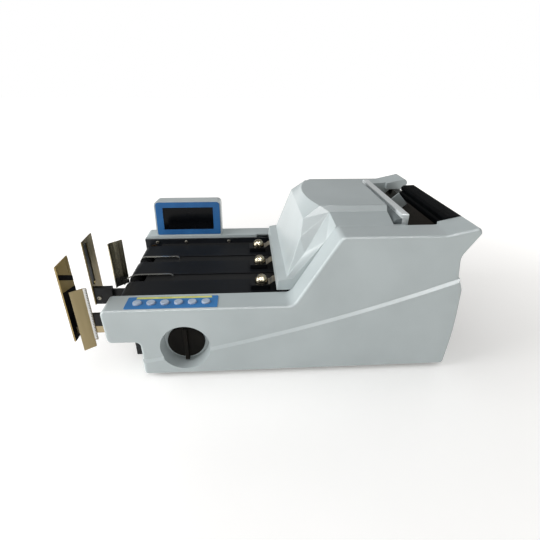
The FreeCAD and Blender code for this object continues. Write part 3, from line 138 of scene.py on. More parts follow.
# powder-coated steel sheet: deep blue-black with the soft ripple of baked paint
powderLook = {"deep": "#0d1015", "pale": "#151a20", "drift": 60.0, "grain": 1.8, "gloss": (0.26, 0.40),
              "bite": 0.16, "depth": 0.3}
powderSheet = grained("powderCoatedSheet", powderLook, {"IOR": 1.5, "Specular IOR Level": 0.3})

# polished stainless strip: a blurred mirror with faint lengthwise draw lines; its warm tan tint is a painted
# reflection of a tan room
mirrorLook = {"deep": "#827556", "pale": "#998b6b", "drift": 26.0, "grain": 2.2, "gloss": (0.26, 0.38),
              "bite": 0.05, "depth": 0.2, "stretch": (1.0, 1.0, 0.12)}
mirrorSteel = grained("polishedStainless", mirrorLook, {"Metallic": 1.0})

# near blade: the same strip, with a painted reflection on its inner face: a straw tint at lower metallic stands in for
# the tan room it reflects, and keeps it warm in the shade
tanReflectionLook = {"deep": "#9a8550", "pale": "#b8a068", "drift": 26.0, "grain": 2.2, "gloss": (0.22, 0.34), "bite": 0.05,
             "depth": 0.2, "stretch": (1.0, 1.0, 0.12), "splitAxis": "X", "splitLine": -0.2775, "outerSaturation": 0.7,
             "outerValue": 0.62, "innerMetallic": 0.55}
tanReflectionSteel, tree, shader, place = startFinish("stainlessWithPaintedTanReflection", {})
grainInto(tree, shader, place, tanReflectionLook)
retintOuterFace(tree, shader, place, tanReflectionLook)

# middle blade: the same painted tan reflection on its inner face, weaker at higher metallic, and darker
darkTanReflectionLook = {"deep": "#6b5d38", "pale": "#837248", "drift": 26.0, "grain": 2.2, "gloss": (0.22, 0.34), "bite": 0.05,
            "depth": 0.2, "stretch": (1.0, 1.0, 0.12), "splitAxis": "X", "splitLine": -0.2775, "outerSaturation": 0.7,
            "outerValue": 1.3, "innerMetallic": 0.85}
darkTanReflectionSteel, tree, shader, place = startFinish("stainlessWithPaintedDarkTanReflection", {})
grainInto(tree, shader, place, darkTanReflectionLook)
retintOuterFace(tree, shader, place, darkTanReflectionLook)

# spring steel leaf: warm grey with rolling marks across it
leafLook = {"deep": "#7d766a", "pale": "#aca491", "drift": 3.0, "grain": 0.9, "gloss": (0.28, 0.42),
            "bite": 0.10, "depth": 0.2, "stretch": (1.0, 0.1, 1.0)}
springSteel = grained("rolledSpringSteel", leafLook, {"Metallic": 1.0})

# ground bearing steel: dulled champagne, mottled by handling
ballLook = {"deep": "#756d5b", "pale": "#b5ad98", "drift": 5.0, "grain": 1.5, "gloss": (0.18, 0.32),
            "bite": 0.03, "depth": 0.1}
bearingSteel = grained("groundBearingSteel", ballLook, {"Metallic": 1.0})

# turned mild steel, zinc flash: satin with tool rings round the Y axis
turnedLook = {"deep": "#8b8d8d", "pale": "#b6b7b4", "drift": 6.0, "grain": 0.8, "gloss": (0.22, 0.38),
              "bite": 0.12, "depth": 0.2, "stretch": (0.08, 1.0, 0.08)}
turnedSteel = grained("turnedZincSteel", turnedLook, {"Metallic": 1.0})

# nickel-plated screw: bright, slightly yellow
nickelLook = {"deep": "#77736a", "pale": "#9f9b90", "drift": 2.5, "grain": 0.6, "gloss": (0.22, 0.36),
              "bite": 0.08, "depth": 0.1}
nickelScrew = grained("nickelPlate", nickelLook, {"Metallic": 1.0})

# satin anodised aluminium: pale grey with fine draw lines along the bar, and painted shade on the barrel beside it,
# darkened so that it reads as a shadowed gap
anodLook = {"deep": "#d6dcdd", "pale": "#e6eaea", "drift": 5.0, "grain": 0.9, "gloss": (0.28, 0.38),
            "bite": 0.10, "depth": 0.2, "stretch": (1.0, 0.06, 1.0), "splitAxis": "X", "splitLine": 0.1893,
            "lowTint": "#6d7577"}
anodisedBar, tree, shader, place = startFinish("anodisedAluminium", {"Metallic": 0.15})
grainInto(tree, shader, place, anodLook)
splitTint(tree, shader, place, anodLook)

# black anodised aluminium: dense satin black
clampLook = {"deep": "#060708", "pale": "#0d0f11", "drift": 7.0, "grain": 0.8, "gloss": (0.24, 0.38),
             "bite": 0.10, "depth": 0.15}
clampBlack = grained("blackAnodised", clampLook, {"Metallic": 0.2, "Specular IOR Level": 0.3})

# brushed steel chute: brown-black, brushed down the slope
chuteLook = {"deep": "#1a1611", "pale": "#2a241a", "drift": 2.0, "grain": 0.7, "gloss": (0.16, 0.32),
             "bite": 0.14, "depth": 0.2, "stretch": (0.08, 1.0, 0.08)}
chuteSteel = grained("brownBlackSteel", chuteLook, {"Metallic": 1.0})

# sintered bronze bush: brown, open-pored, damp with oil
bronzeLook = {"deep": "#3f2f1b", "pale": "#5c472b", "drift": 3.0, "grain": 0.5, "gloss": (0.25, 0.45),
              "bite": 0.25, "depth": 0.1}
bronzeBush = grained("sinteredBronze", bronzeLook, {"Metallic": 1.0})

# black acetal: waxy black, for the ball cages
acetalLook = {"deep": "#07090b", "pale": "#0e1114", "drift": 8.0, "grain": 1.0, "gloss": (0.30, 0.42),
              "bite": 0.08, "depth": 0.15}
blackAcetal = grained("blackAcetal", acetalLook, {"IOR": 1.48, "Specular IOR Level": 0.15})

# natural acetal: milky white, for the guide blocks
milkLook = {"deep": "#cdcabf", "pale": "#dedbd1", "drift": 12.0, "grain": 1.0, "gloss": (0.32, 0.44),
            "bite": 0.08, "depth": 0.15}
milkAcetal = grained("naturalAcetal", milkLook, {"IOR": 1.48})

# moulded dial: brown-black ABS, dull from the tool, slightly polished by fingers
dialLook = {"deep": "#0b0a08", "pale": "#15130f", "drift": 18.0, "grain": 0.9, "gloss": (0.38, 0.55),
            "bite": 0.12, "depth": 0.2}
dialAbs = grained("brownBlackAbs", dialLook, {"IOR": 1.53, "Specular IOR Level": 0.06})

# nitrile grip: near-black rubber with a bloom that dulls it in patches
gripLook = {"deep": "#020304", "pale": "#05080a", "drift": 14.0, "grain": 0.8, "gloss": (0.40, 0.55),
            "bite": 0.12, "depth": 0.2}
gripRubber = grained("nitrileGrip", gripLook, {"IOR": 1.52, "Specular IOR Level": 0.05})

# moulded rubber: dull black, for feet and timing belts, and dull as the paint on the deck
dullLook = {"deep": "#0a0b0c", "pale": "#121314", "drift": 10.0, "grain": 0.9, "gloss": (0.55, 0.72),
            "bite": 0.2, "depth": 0.2}
dullRubber = grained("mouldedRubber", dullLook, {"IOR": 1.52, "Specular IOR Level": 0.2})

# cast polyurethane tyre: brown-grey, ground with rings
tyreLook = {"deep": "#57534b", "pale": "#6d685e", "drift": 8.0, "grain": 0.8, "gloss": (0.5, 0.65),
            "bite": 0.25, "depth": 0.2, "stretch": (0.2, 1.0, 0.2)}
castTyre = grained("castPolyurethane", tyreLook, {"IOR": 1.5})

# silicone key: pale grey-blue, soft and matt
keyLook = {"deep": "#a3b1c6", "pale": "#b2c1d3", "drift": 7.0, "grain": 0.8, "gloss": (0.42, 0.56),
           "bite": 0.06, "depth": 0.1}
siliconeKey = grained("siliconeRubber", keyLook,
                      {"IOR": 1.43, "Subsurface Weight": 0.08, "Subsurface Radius": (0.002, 0.002, 0.002)})

# screen-printed polyester film: flat blue with a fine hard-coat tooth
blueLook = {"deep": "#1c6dae", "pale": "#257cc0", "drift": 40.0, "grain": 0.8, "gloss": (0.30, 0.40),
            "bite": 0.05, "depth": 0.1}
blueFilm = grained("bluePolyesterFilm", blueLook, {"IOR": 1.57})

# the same film over the display, printed a little deeper
frameLook = {"deep": "#195c98", "pale": "#2069a8", "drift": 40.0, "grain": 0.8, "gloss": (0.34, 0.44),
             "bite": 0.05, "depth": 0.1}
frameFilm = grained("deepBluePolyesterFilm", frameLook, {"IOR": 1.57, "Specular IOR Level": 0.3})

# printed label film: olive yellow, slightly uneven ink
oliveLook = {"deep": "#cccc63", "pale": "#dedf84", "drift": 9.0, "grain": 0.8, "gloss": (0.34, 0.46),
             "bite": 0.05, "depth": 0.1}
oliveFilm = grained("oliveLabelFilm", oliveLook, {"IOR": 1.57})

# smoked acrylic: black glass with a hard-coat shine
smokeLook = {"deep": "#050608", "pale": "#0a0c10", "drift": 50.0, "grain": 3.0, "gloss": (0.06, 0.14),
             "bite": 0.02, "depth": 0.1}
smokedAcrylic = grained("smokedAcrylic", smokeLook, {"IOR": 1.49, "Specular IOR Level": 0.12})

# glass-filled nylon: black with a dry, faintly rough skin, for the inlet and the rocker
nylonLook = {"deep": "#0e0f10", "pale": "#1a1b1d", "drift": 9.0, "grain": 0.7, "gloss": (0.38, 0.52),
             "bite": 0.16, "depth": 0.15}
blackNylon = grained("blackNylon", nylonLook, {"IOR": 1.53})

# glass-epoxy circuit board: green and uneven under its solder mask
boardLook = {"deep": "#14502c", "pale": "#1f6b3c", "drift": 5.0, "grain": 1.2, "gloss": (0.25, 0.40),
             "bite": 0.12, "depth": 0.15}
greenBoard = grained("greenSolderMask", boardLook, {"IOR": 1.55})

# rubber-faced fabric belt: black weave, the real threads are near 0.6 mm, drawn every 3 mm so that the cloth shows
beltWeave = {"pitch": 3.0, "waver": 0.6, "wear": 45.0, "deep": "#04070b", "pale": "#0a0f16", "gloss": (0.42, 0.60),
             "bite": 0.2, "depth": 0.1, "stretch": (0.2, 1.0, 1.0)}
beltCloth, tree, shader, place = startFinish("wovenBeltRubber", {"IOR": 1.5, "Specular IOR Level": 0.15})
weaveScale = perMm(beltWeave["pitch"]) * math.pi / 10.0  # a wave texture repeats every pi / 10
threads = [addNode(tree, "ShaderNodeTexWave", {"bands_direction": axis, "Scale": weaveScale,
                                               "Distortion": beltWeave["waver"], "Detail": 1.0},
                   {"Vector": place}).outputs["Fac"] for axis in ("X", "Y")]
weave = addNode(tree, "ShaderNodeMath", {"operation": "MULTIPLY"}, {0: threads[0], 1: threads[1]})
lengthwise = addNode(tree, "ShaderNodeMapping", {"Scale": beltWeave["stretch"]}, {"Vector": place})
wornBelt = addNode(tree, "ShaderNodeTexNoise", {"Scale": perMm(beltWeave["wear"]), "Detail": 4.0},
                   {"Vector": lengthwise.outputs["Vector"]})
beltTint = addNode(tree, "ShaderNodeValToRGB", {}, {"Fac": wornBelt.outputs["Fac"]})
for end, tone in zip(beltTint.color_ramp.elements, ("deep", "pale")):
    end.color = linear(beltWeave[tone])
tree.links.new(beltTint.outputs["Color"], shader.inputs["Base Color"])
beltGloss = addNode(tree, "ShaderNodeMapRange", {"To Min": beltWeave["gloss"][0], "To Max": beltWeave["gloss"][1]},
                    {"Value": wornBelt.outputs["Fac"]})
tree.links.new(beltGloss.outputs["Result"], shader.inputs["Roughness"])
beltBump = addNode(tree, "ShaderNodeBump", {"Strength": beltWeave["bite"], "Distance": beltWeave["depth"] / 1000.0},
                   {"Height": weave.outputs["Value"]})
tree.links.new(beltBump.outputs["Normal"], shader.inputs["Normal"])

# satin spring steel: the far finger, grey with draw lines along it
fingerLook = {"deep": "#8b8b86", "pale": "#b3b2ab", "drift": 6.0, "grain": 0.8, "gloss": (0.18, 0.30),
              "bite": 0.06, "depth": 0.1, "stretch": (0.15, 1.0, 0.15)}
fingerSteel = grained("satinSpringSteel", fingerLook, {"Metallic": 1.0})

# the middle finger and the plate that stands on it: grey satin up to the line, painted streaky warm reflections above
standLook = {"deep": "#473e28", "pale": "#e2d8ba", "drift": 5.0, "grain": 2.0, "gloss": (0.18, 0.30), "bite": 0.05,
             "depth": 0.2, "stretch": (1.0, 1.0, 0.05), "splitAxis": "Z", "splitLine": 0.1095, "lowTint": "#8b8b86"}
standSteel, tree, shader, place = startFinish("steelWithPaintedReflections", {"Metallic": 1.0})
grainInto(tree, shader, place, standLook)
splitTint(tree, shader, place, standLook)

# black enamel on the near arm, masked off along its rack, which is bare ground steel
enamelLook = {"deep": "#040505", "pale": "#090a0b", "drift": 9.0, "grain": 0.9, "gloss": (0.25, 0.38), "bite": 0.08,
              "depth": 0.15, "splitAxis": "Z", "splitLine": 0.0775, "lowTint": "#a8997a"}
maskedEnamel, tree, shader, place = startFinish("maskedEnamel", {"Specular IOR Level": 0.25})
grainInto(tree, shader, place, enamelLook)
bareRack = splitTint(tree, shader, place, enamelLook)
tree.links.new(bareRack, shader.inputs["Metallic"])

# black cloth strips for the near blade: soft black pile that takes up nearly all light; they are a painted reflection
# of dark surroundings
darkReflectionLook = {"deep": "#050505", "pale": "#0d0c0b", "drift": 5.0, "grain": 0.7, "gloss": (0.75, 0.9), "bite": 0.5,
            "depth": 0.3}
darkReflectionCloth = grained("darkReflectionCloth", darkReflectionLook, {"Specular IOR Level": 0.05})

# white strip for the near post: clean white with a slight sheen, a painted highlight
highlightStripLook = {"deep": "#e2e3e1", "pale": "#efefed", "drift": 6.0, "grain": 0.8, "gloss": (0.30, 0.40), "bite": 0.04,
            "depth": 0.1}
paintedHighlightWhite = grained("paintedHighlightWhite", highlightStripLook, {"IOR": 1.54})
print("finishes made:", len(bpy.data.materials))

slotFinish = {
    "housing": mouldedAbs, "black_sheet": powderSheet, "bush": bronzeBush, "roller": turnedSteel,
    "motor_case": turnedSteel, "timing_rubber": dullRubber, "cage": blackAcetal, "leaf": springSteel,
    "polished_steel": mirrorSteel, "clamp": clampBlack, "screw": nickelScrew, "guide_block": milkAcetal,
    "shaft": turnedSteel, "dial": dialAbs, "gate": anodisedBar, "chute": chuteSteel, "rest_grip": gripRubber,
    "side_plate": mouldedAbs, "tyre": castTyre, "board": greenBoard, "inlet": blackNylon, "rocker": blackNylon,
    "keypad": blueFilm, "label": oliveFilm, "display_frame": frameFilm, "display_glass": smokedAcrylic,
    "foot": dullRubber, "belt": beltCloth, "ball": bearingSteel, "key": siliconeKey,
}
ownFinish = {
    "nose_roller": clampBlack, "near_arm": maskedEnamel, "mid_arm": clampBlack, "far_finger": fingerSteel,
    "centre_stop": standSteel, "deck": dullRubber, "near_blade": tanReflectionSteel, "mid_blade": darkTanReflectionSteel,
}
for name, node in nodes.items():
    slotName = node.material_slots[0].material.name.split(".")[0]
    node.material_slots[0].material = ownFinish.get(name, slotFinish[slotName])

# a fine broken edge on the sheet metal and plates, which catches the light as a real edge does
brokenEdges = {
    "near_blade": 0.4, "mid_blade": 0.4, "near_post": 0.3, "near_arm": 0.4, "mid_arm": 0.4, "centre_stop": 0.25,
    "far_finger": 0.25, "chassis_plate_near": 0.5, "chassis_plate_far": 0.5, "mid_clamp": 0.7, "side_guide": 0.4,
    "belt_near": 0.35, "belt_mid": 0.35, "belt_far": 0.35, "ball_cages": 0.4, "end_panel": 0.3, "hopper_chute": 0.3,
    "power_inlet": 0.4, "label_strip": 0.1, "display_window": 0.12, "gate_bar": 0.4,
}
edgeForm = {"join": 0.000001, "segments": 2, "turn": 35.0}
for name, width in brokenEdges.items():  # widths in millimetres
    weld = nodes[name].modifiers.new("joinTriangles", "WELD")
    weld.merge_threshold = edgeForm["join"]
    bevel = nodes[name].modifiers.new("brokenEdge", "BEVEL")
    bevel.width = width / 1000.0
    bevel.segments = edgeForm["segments"]
    bevel.limit_method = "ANGLE"
    bevel.angle_limit = math.radians(edgeForm["turn"])
print("edges broken:", len(brokenEdges))

joinGap = 0.000002  # metres, points nearer than this are one
flatTurn = 0.4  # degrees, faces that turn less than this are one


def mergedCopy(name):  # a node's mesh with its triangles joined and flat faces made whole
    bm = bmesh.new()
    bm.from_mesh(nodes[name].data)
    bmesh.ops.remove_doubles(bm, verts=bm.verts[:], dist=joinGap)
    bmesh.ops.dissolve_limit(bm, angle_limit=math.radians(flatTurn), verts=bm.verts[:], edges=bm.edges[:])
    return bm


def addPiece(name, bm, material, body, smoothAngle=30.0):
    mesh = bpy.data.meshes.new(name)
    bm.to_mesh(mesh)
    bm.free()
    mesh.materials.append(material)
    mesh.shade_smooth()
    mesh.set_sharp_from_angle(angle=math.radians(smoothAngle))
    piece = bpy.data.objects.new(name, mesh)
    bpy.context.scene.collection.objects.link(piece)
    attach(piece, body)
    return piece


# top cover: the facets meet in soft moulded creases
coverCrease = {"turn": 7.0, "shortest": 0.012, "radius": 0.0024, "segments": 3, "seamRadius": 0.0005, "seamTurn": 30.0,
               "seamSegments": 2, "seamSlack": 0.0002, "browDepth": 0.018, "browReach": 0.0735, "browSlack": 0.0004,
               "smooth": 40.0, "facetWeight": 90}
bm = mergedCopy("top_cover")
sideReach = max(v.co.y for v in bm.verts)


def alongSeam(edge):  # the two long edges beside the housings keep a tight corner
    return all(abs(abs(v.co.y) - sideReach) < coverCrease["seamSlack"] for v in edge.verts)


def acrossBrow(edge):  # the brow under the plateau is one curved band, without creases of its own
    low, high = sorted(edge.verts, key=lambda v: v.co.z)
    reach = (abs(low.co.y) + abs(high.co.y)) / 2
    offDepth = abs(high.co.z - low.co.z - coverCrease["browDepth"])
    return offDepth < coverCrease["browSlack"] and reach < coverCrease["browReach"]


creases = [e for e in bm.edges if len(e.link_faces) == 2 and e.calc_length() > coverCrease["shortest"]
           and e.calc_face_angle() > math.radians(coverCrease["turn"]) and not alongSeam(e) and not acrossBrow(e)]
bmesh.ops.bevel(bm, geom=creases, offset=coverCrease["radius"], offset_type="OFFSET", affect="EDGES",
                segments=coverCrease["segments"], profile=0.5, material=-1, clamp_overlap=True)
seamEdges = [e for e in bm.edges if len(e.link_faces) == 2 and alongSeam(e)
             and e.calc_face_angle() > math.radians(coverCrease["seamTurn"])]
bmesh.ops.bevel(bm, geom=seamEdges, offset=coverCrease["seamRadius"], offset_type="OFFSET", affect="EDGES",
                segments=coverCrease["seamSegments"], profile=0.5, material=-1, clamp_overlap=True)
coverShell = addPiece("coverShell", bm, mouldedAbs, "cover", coverCrease["smooth"])
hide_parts("top_cover")
evenFacets = coverShell.modifiers.new("evenFacets", "WEIGHTED_NORMAL")
evenFacets.weight = coverCrease["facetWeight"]
evenFacets.keep_sharp = True
print("cover creased:", len(creases), "edges")

# rest bar: ribbed rubber over the whole profile, each rib in four steps of which two change its size
ribbing = {"pitch": 0.0024, "depth": 0.0005, "corner": 0.0014, "cornerSegments": 3, "steps": 4, "smooth": 35.0}
bm = mergedCopy("rest_bar")
endFace = min(bm.faces, key=lambda f: f.calc_center_median().y)
bmesh.ops.delete(bm, geom=[f for f in bm.faces if f is not endFace], context="FACES")
bmesh.ops.bevel(bm, geom=bm.verts[:], offset=ribbing["corner"], offset_type="OFFSET", affect="VERTICES",
                segments=ribbing["cornerSegments"], profile=0.5, material=-1, clamp_overlap=True)
low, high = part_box("rest_bar")
ribCount = int((high.y - low.y) / ribbing["pitch"])
ribStep = (high.y - low.y) / (ribCount * ribbing["steps"])
endFace = bm.faces[:][0]
bmesh.ops.duplicate(bm, geom=[endFace])  # stays behind and closes the first end
middle = endFace.calc_center_median()
shrink = 1.0 - ribbing["depth"] * 2.0 / (high.z - low.z)
moving = [endFace]
for i in range(ribCount * ribbing["steps"]):
    made = bmesh.ops.extrude_face_region(bm, geom=moving)
    ring = [g for g in made["geom"] if isinstance(g, bmesh.types.BMVert)]
    bmesh.ops.delete(bm, geom=moving, context="FACES_ONLY")
    moving = [g for g in made["geom"] if isinstance(g, bmesh.types.BMFace)]
    bmesh.ops.translate(bm, vec=(0, ribStep, 0), verts=ring)
    factor = {1: shrink, 3: 1.0 / shrink}.get(i % ribbing["steps"])
    if factor:
        bmesh.ops.scale(bm, vec=(factor, 1.0, factor), space=Matrix.Translation(-middle), verts=ring)
bmesh.ops.remove_doubles(bm, verts=bm.verts[:], dist=joinGap)
bmesh.ops.recalc_face_normals(bm, faces=bm.faces[:])
gripBar = addPiece("gripBar", bm, gripRubber, "chassis", ribbing["smooth"])
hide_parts("rest_bar")
print("grip ribbed:", ribCount, "ribs")


# cross-recess pan heads, each built along its own axis and then set in place
# rings are shares of the radius and the height, arm and reach of the radius, sink of the height
panHead = {"segments": 24, "rings": ((1.0, 0.55), (0.9, 0.85), (0.72, 1.0)), "arm": 0.24, "reach": 0.6, "sink": 0.55}


def crossHead(bm, centre, outward, radius, height):
    part = bmesh.new()
    bmesh.ops.create_circle(part, cap_ends=True, segments=panHead["segments"], radius=radius)
    rim = part.edges[:]
    for scale, level in panHead["rings"]:
        made = bmesh.ops.extrude_edge_only(part, edges=rim)
        ring = [g for g in made["geom"] if isinstance(g, bmesh.types.BMVert)]
        rim = [g for g in made["geom"] if isinstance(g, bmesh.types.BMEdge)]
        for vert in ring:
            flat = Vector((vert.co.x, vert.co.y, 0.0)).normalized() * radius * scale
            vert.co = (flat.x, flat.y, height * level)
    arm = radius * panHead["arm"]
    reach = radius * panHead["reach"]
    corners = []
    for i in range(4):
        turn = Matrix.Rotation(math.radians(90 * i), 3, "Z")
        for x, y in ((reach, -arm / 2), (reach, arm / 2), (arm / 2, arm / 2)):
            corners.append(part.verts.new(turn @ Vector((x, y, height))))
    crossEdges = [part.edges.new(pair) for pair in zip(corners, corners[1:] + corners[:1])]
    bmesh.ops.bridge_loops(part, edges=rim + crossEdges)
    floor = part.faces.new(corners)
    sunk = bmesh.ops.extrude_face_region(part, geom=[floor])
    part.faces.remove(floor)
    lowered = [g for g in sunk["geom"] if isinstance(g, bmesh.types.BMVert)]
    bmesh.ops.translate(part, vec=(0, 0, -height * panHead["sink"]), verts=lowered)
    bmesh.ops.recalc_face_normals(part, faces=part.faces[:])
    facing = Vector((0, 0, 1)).rotation_difference(outward).to_matrix().to_4x4()
    bmesh.ops.transform(part, matrix=Matrix.Translation(centre) @ facing, verts=part.verts[:])
    carrier = bpy.data.meshes.new("panHeadCarrier")
    part.to_mesh(carrier)
    part.free()
    bm.from_mesh(carrier)
    bpy.data.meshes.remove(carrier)


# the chassis plates' screws
plateScrew = {"along": (20.0, 76.0, 160.0), "radius": 0.0032, "height": 0.0016}
low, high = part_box("plate_screws")
bm = bmesh.new()
first, last = plateScrew["along"][0], plateScrew["along"][-1]
left, right = low.x + plateScrew["radius"], high.x - plateScrew["radius"]
for along in plateScrew["along"]:
    x = left + (along - first) / (last - first) * (right - left)
    crossHead(bm, Vector((x, low.y, (low.z + high.z) / 2)), Vector((0, 1, 0)), plateScrew["radius"],
              plateScrew["height"])
    crossHead(bm, Vector((x, high.y, (low.z + high.z) / 2)), Vector((0, -1, 0)), plateScrew["radius"],
              plateScrew["height"])
plateHeads = addPiece("plateHeads", bm, nickelScrew, "chassis")
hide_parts("plate_screws")

# screws that hold the end panel, and the base plate underneath
panelScrew = {"radius": 0.003, "height": 0.0016, "inset": 0.009, "topInset": 0.018, "baseInset": 0.06}
low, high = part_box("end_panel")
bm = bmesh.new()
for y in (low.y + panelScrew["inset"], high.y - panelScrew["inset"]):
    for z in (low.z + panelScrew["inset"], high.z - panelScrew["topInset"]):
        crossHead(bm, Vector((high.x, y, z)), Vector((1, 0, 0)), panelScrew["radius"], panelScrew["height"])
low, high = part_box("base_plate")
for x in (low.x + panelScrew["baseInset"], (low.x + high.x) / 2, high.x - panelScrew["baseInset"]):
    for y in (low.y + panelScrew["baseInset"], high.y - panelScrew["baseInset"]):
        crossHead(bm, Vector((x, y, low.z)), Vector((0, 0, -1)), panelScrew["radius"], panelScrew["height"])
panelHeads = addPiece("panelHeads", bm, nickelScrew, "chassis")

# four screws in the back of the display case, set square to its leaning face
backScrew = {"radius": 0.0026, "height": 0.0014, "inset": 0.009, "backward": 0.8}
case = mergedCopy("display_case")
backFace = max((f for f in case.faces if f.normal.y > backScrew["backward"]), key=lambda f: f.calc_area())
outward, centre = backFace.normal.copy(), backFace.calc_center_bounds()
upward = outward.cross(Vector((-1.0, 0.0, 0.0)))
halfAcross = max(abs(v.co.x - centre.x) for v in backFace.verts) - backScrew["inset"]
halfUp = max(abs((v.co - centre).dot(upward)) for v in backFace.verts) - backScrew["inset"]
case.free()
bm = bmesh.new()
for right in (-1.0, 1.0):
    for up in (-1.0, 1.0):
        spot = centre + Vector((right * halfAcross, 0.0, 0.0)) + upward * up * halfUp
        crossHead(bm, spot, outward, backScrew["radius"], backScrew["height"])
caseHeads = addPiece("caseHeads", bm, nickelScrew, "chassis")
print("screws set")

stripEdge = {"segments": 2, "turn": 1.0, "smooth": 40.0}  # turn in radians, less than a square edge's


def strip(bm, low, high, soft, cuts):  # a thin strip between two corners, cut along its length, with softened edges
    verts = bmesh.ops.create_cube(bm, size=1.0)["verts"]
    spread = Vector(high) - Vector(low)
    bmesh.ops.scale(bm, vec=spread, verts=verts)
    bmesh.ops.translate(bm, vec=(Vector(high) + Vector(low)) / 2, verts=verts)
    edges = list({e for v in verts for e in v.link_edges})
    longEdges = [e for e in edges if abs((e.verts[0].co - e.verts[1].co).z) > spread.z / 2]
    bmesh.ops.subdivide_edges(bm, edges=longEdges, cuts=cuts)
    rim = [e for e in bm.edges if len(e.link_faces) == 2 and e.calc_face_angle() > stripEdge["turn"]]
    bmesh.ops.bevel(bm, geom=rim, offset=soft, offset_type="OFFSET", affect="EDGES", segments=stripEdge["segments"],
                    profile=0.5, material=-1, clamp_overlap=True)


# near blade: black strips on the side that the sheets meet, one over the lower part and a narrow band near the top;
# they are a painted reflection of dark surroundings
# top, band, the two levels above which a point drops, and the drops are shares of the blade's height
darkBand = {"thick": 0.0006, "inset": 0.0006, "top": 0.67, "band": (0.836, 0.908), "soft": 0.00015, "cuts": 6,
        "bandLevel": 0.75, "topLevel": 0.6, "bandDrop": 0.168, "topDrop": 0.065}
low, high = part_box("near_blade")
tall = high.z - low.z
bm = bmesh.new()
for foot, head in ((0.0, darkBand["top"]), darkBand["band"]):
    strip(bm, (high.x, low.y + darkBand["inset"], low.z + foot * tall + darkBand["inset"]),
          (high.x + darkBand["thick"], high.y - darkBand["inset"], low.z + head * tall), darkBand["soft"], darkBand["cuts"])
for vert in bm.verts:  # both are cut on the slant, lower at the far edge
    level = (vert.co.z - low.z) / tall
    drop = darkBand["topDrop"] if level > darkBand["topLevel"] else 0.0
    if level > darkBand["bandLevel"]:
        drop = darkBand["bandDrop"]
    vert.co.z -= drop * tall * (vert.co.y - low.y) / (high.y - low.y)
paintedDarkReflection = addPiece("paintedDarkReflection", bm, darkReflectionCloth, "near_stop", stripEdge["smooth"])

# near post: a white strip on its right flange, a painted highlight of its pale face, with printed marks down its edge
tape = {"flange": 0.005, "sheet": 0.0015, "thick": 0.0003, "edge": 0.0004, "foot": 0.0135, "soft": 0.0001, "cuts": 8,
        "pitch": 0.0027, "mark": 0.0012, "markLong": 0.0015, "ink": 0.0001, "inkSoft": 0.00003, "inkCuts": 1}
low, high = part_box("near_post")
face = high.y - tape["sheet"]
left, right = high.x - tape["flange"] + tape["edge"], high.x - tape["edge"]
foot, head = low.z + tape["foot"], high.z - tape["edge"]
bm = bmesh.new()
strip(bm, (left, face - tape["thick"], foot), (right, face, head), tape["soft"], tape["cuts"])
postTape = addPiece("postTape", bm, paintedHighlightWhite, "near_stop", stripEdge["smooth"])
bm = bmesh.new()
markCount = int((head - foot) / tape["pitch"])
for i in range(markCount):
    z = foot + (i + 0.5) * tape["pitch"]
    strip(bm, (right - tape["markLong"], face - tape["thick"] - tape["ink"], z - tape["mark"] / 2),
          (right, face - tape["thick"], z + tape["mark"] / 2), tape["inkSoft"], tape["inkCuts"])
tapeMarks = addPiece("tapeMarks", bm, blackAcetal, "near_stop", stripEdge["smooth"])
print("stops dressed:", markCount, "marks")

# floor: a wide pale sheet of paper, which glows more from the near to the far distance from the machine
paper = {"across": 14.0, "tint": "#fffcf7", "near": 0.3, "far": 1.5, "nearGlow": 0.23, "farGlow": 0.80}
bm = bmesh.new()
bmesh.ops.create_grid(bm, x_segments=2, y_segments=2, size=paper["across"] / 2)
mesh = bpy.data.meshes.new("studioFloor")
bm.to_mesh(mesh)
bm.free()
studioFloor = bpy.data.objects.new("studioFloor", mesh)
bpy.context.scene.collection.objects.link(studioFloor)
# matt background paper, lit from below as on a light table: almost white, whiter away from the machine
paperLook = {"deep": "#f1f1f1", "pale": "#f7f7f7", "drift": 400.0, "grain": 3.0, "gloss": (0.8, 0.9), "bite": 0.02,
             "depth": 0.1}
backgroundPaper, tree, shader, place = startFinish("backgroundPaper", {"Emission Color": linear(paper["tint"])})
grainInto(tree, shader, place, paperLook)
away = addNode(tree, "ShaderNodeVectorMath", {"operation": "LENGTH"}, {0: place})
glow = addNode(tree, "ShaderNodeMapRange", {"From Min": paper["near"], "From Max": paper["far"],
                                            "To Min": paper["nearGlow"], "To Max": paper["farGlow"]},
               {"Value": away.outputs["Value"]})
tree.links.new(glow.outputs["Result"], shader.inputs["Emission Strength"])
mesh.materials.append(backgroundPaper)

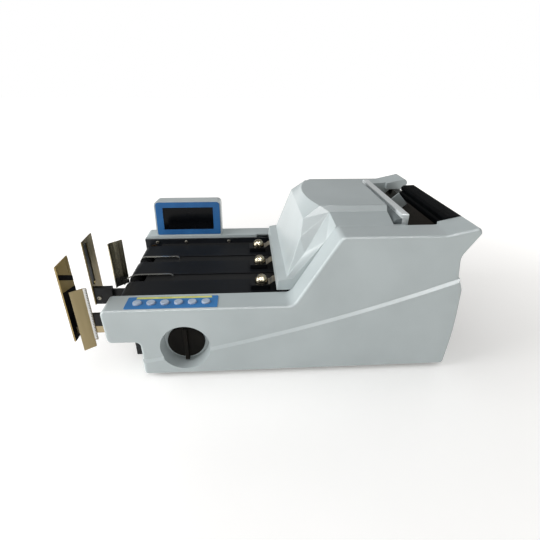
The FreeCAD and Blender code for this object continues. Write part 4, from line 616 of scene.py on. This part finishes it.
# soft studio light: a big lamp low on the left, weak ones behind on the right and overhead, white surroundings
# and two thin strips, overhead and in front, that only show as a shine on edges
lamps = {
    "leftBank": {"place": (-1.46, -0.24, 0.56), "aim": (0.0, 0.0, 0.12), "size": (1.1, 1.1), "watts": 25.5},
    "backFill": {"place": (1.3, 0.8, 0.5), "aim": (0.0, 0.0, 0.12), "size": (0.9, 0.9), "watts": 3.0},
    "topSheet": {"place": (0.1, 0.1, 1.5), "aim": (0.1, 0.1, 0.0), "size": (1.4, 1.4), "watts": 2.2},
    "edgeStrip": {"place": (0.0, -0.45, 1.4), "aim": (0.0, 0.0, 0.12), "size": (1.8, 0.06), "watts": 20.0},
    "creaseStrip": {"place": (0.0, -1.25, 1.05), "aim": (0.0, 0.0, 0.12), "size": (2.2, 0.08), "watts": 32.0},
}
for name, lamp in lamps.items():
    light = bpy.data.lights.new(name, "AREA")
    light.energy = lamp["watts"]
    light.shape = "RECTANGLE"
    light.size, light.size_y = lamp["size"]
    holder = bpy.data.objects.new(name, light)
    holder.visible_diffuse = not name.endswith("Strip")
    aim = Vector(lamp["aim"]) - Vector(lamp["place"])
    holder.matrix_world = Matrix.Translation(lamp["place"]) @ aim.to_track_quat("-Z", "Y").to_matrix().to_4x4()
    bpy.context.scene.collection.objects.link(holder)
surroundings = bpy.data.worlds.new("whiteRoom")
surroundings.use_nodes = True
roomTree = surroundings.node_tree
# the room gives a weak even light, and is plain white where it is seen directly
room = {"tint": "#ffffff", "light": 0.37, "seen": 1.0}
rays = addNode(roomTree, "ShaderNodeLightPath")
glow = addNode(roomTree, "ShaderNodeMapRange", {"To Min": room["light"], "To Max": room["seen"]},
               {"Value": rays.outputs["Is Camera Ray"]})
roomTree.nodes["Background"].inputs["Color"].default_value = linear(room["tint"])
roomTree.links.new(glow.outputs["Result"], roomTree.nodes["Background"].inputs["Strength"])
bpy.context.scene.world = surroundings
bpy.context.scene.view_settings.view_transform = "Standard"

# camera: matched to the photograph's viewing angle
view = {"place": (-0.026335, -0.585, 0.4018), "turn": -3.70, "tilt": 62.98, "roll": 0.44, "lens": 24.953,
        "sensor": 36.0, "shift": -0.00722, "nearest": 0.01}
camera = bpy.data.cameras.new("photoCamera")
camera.lens = view["lens"]
camera.sensor_width = view["sensor"]
camera.sensor_fit = "HORIZONTAL"
camera.shift_y = view["shift"]
camera.clip_start = view["nearest"]
cameraHolder = bpy.data.objects.new("photoCamera", camera)
cameraHolder.matrix_world = (Matrix.Translation(view["place"]) @ Matrix.Rotation(math.radians(view["turn"]), 4, "Z")
                             @ Matrix.Rotation(math.radians(view["tilt"]), 4, "X")
                             @ Matrix.Rotation(math.radians(view["roll"]), 4, "Z"))
bpy.context.scene.collection.objects.link(cameraHolder)
bpy.context.scene.camera = cameraHolder
print("studio ready")
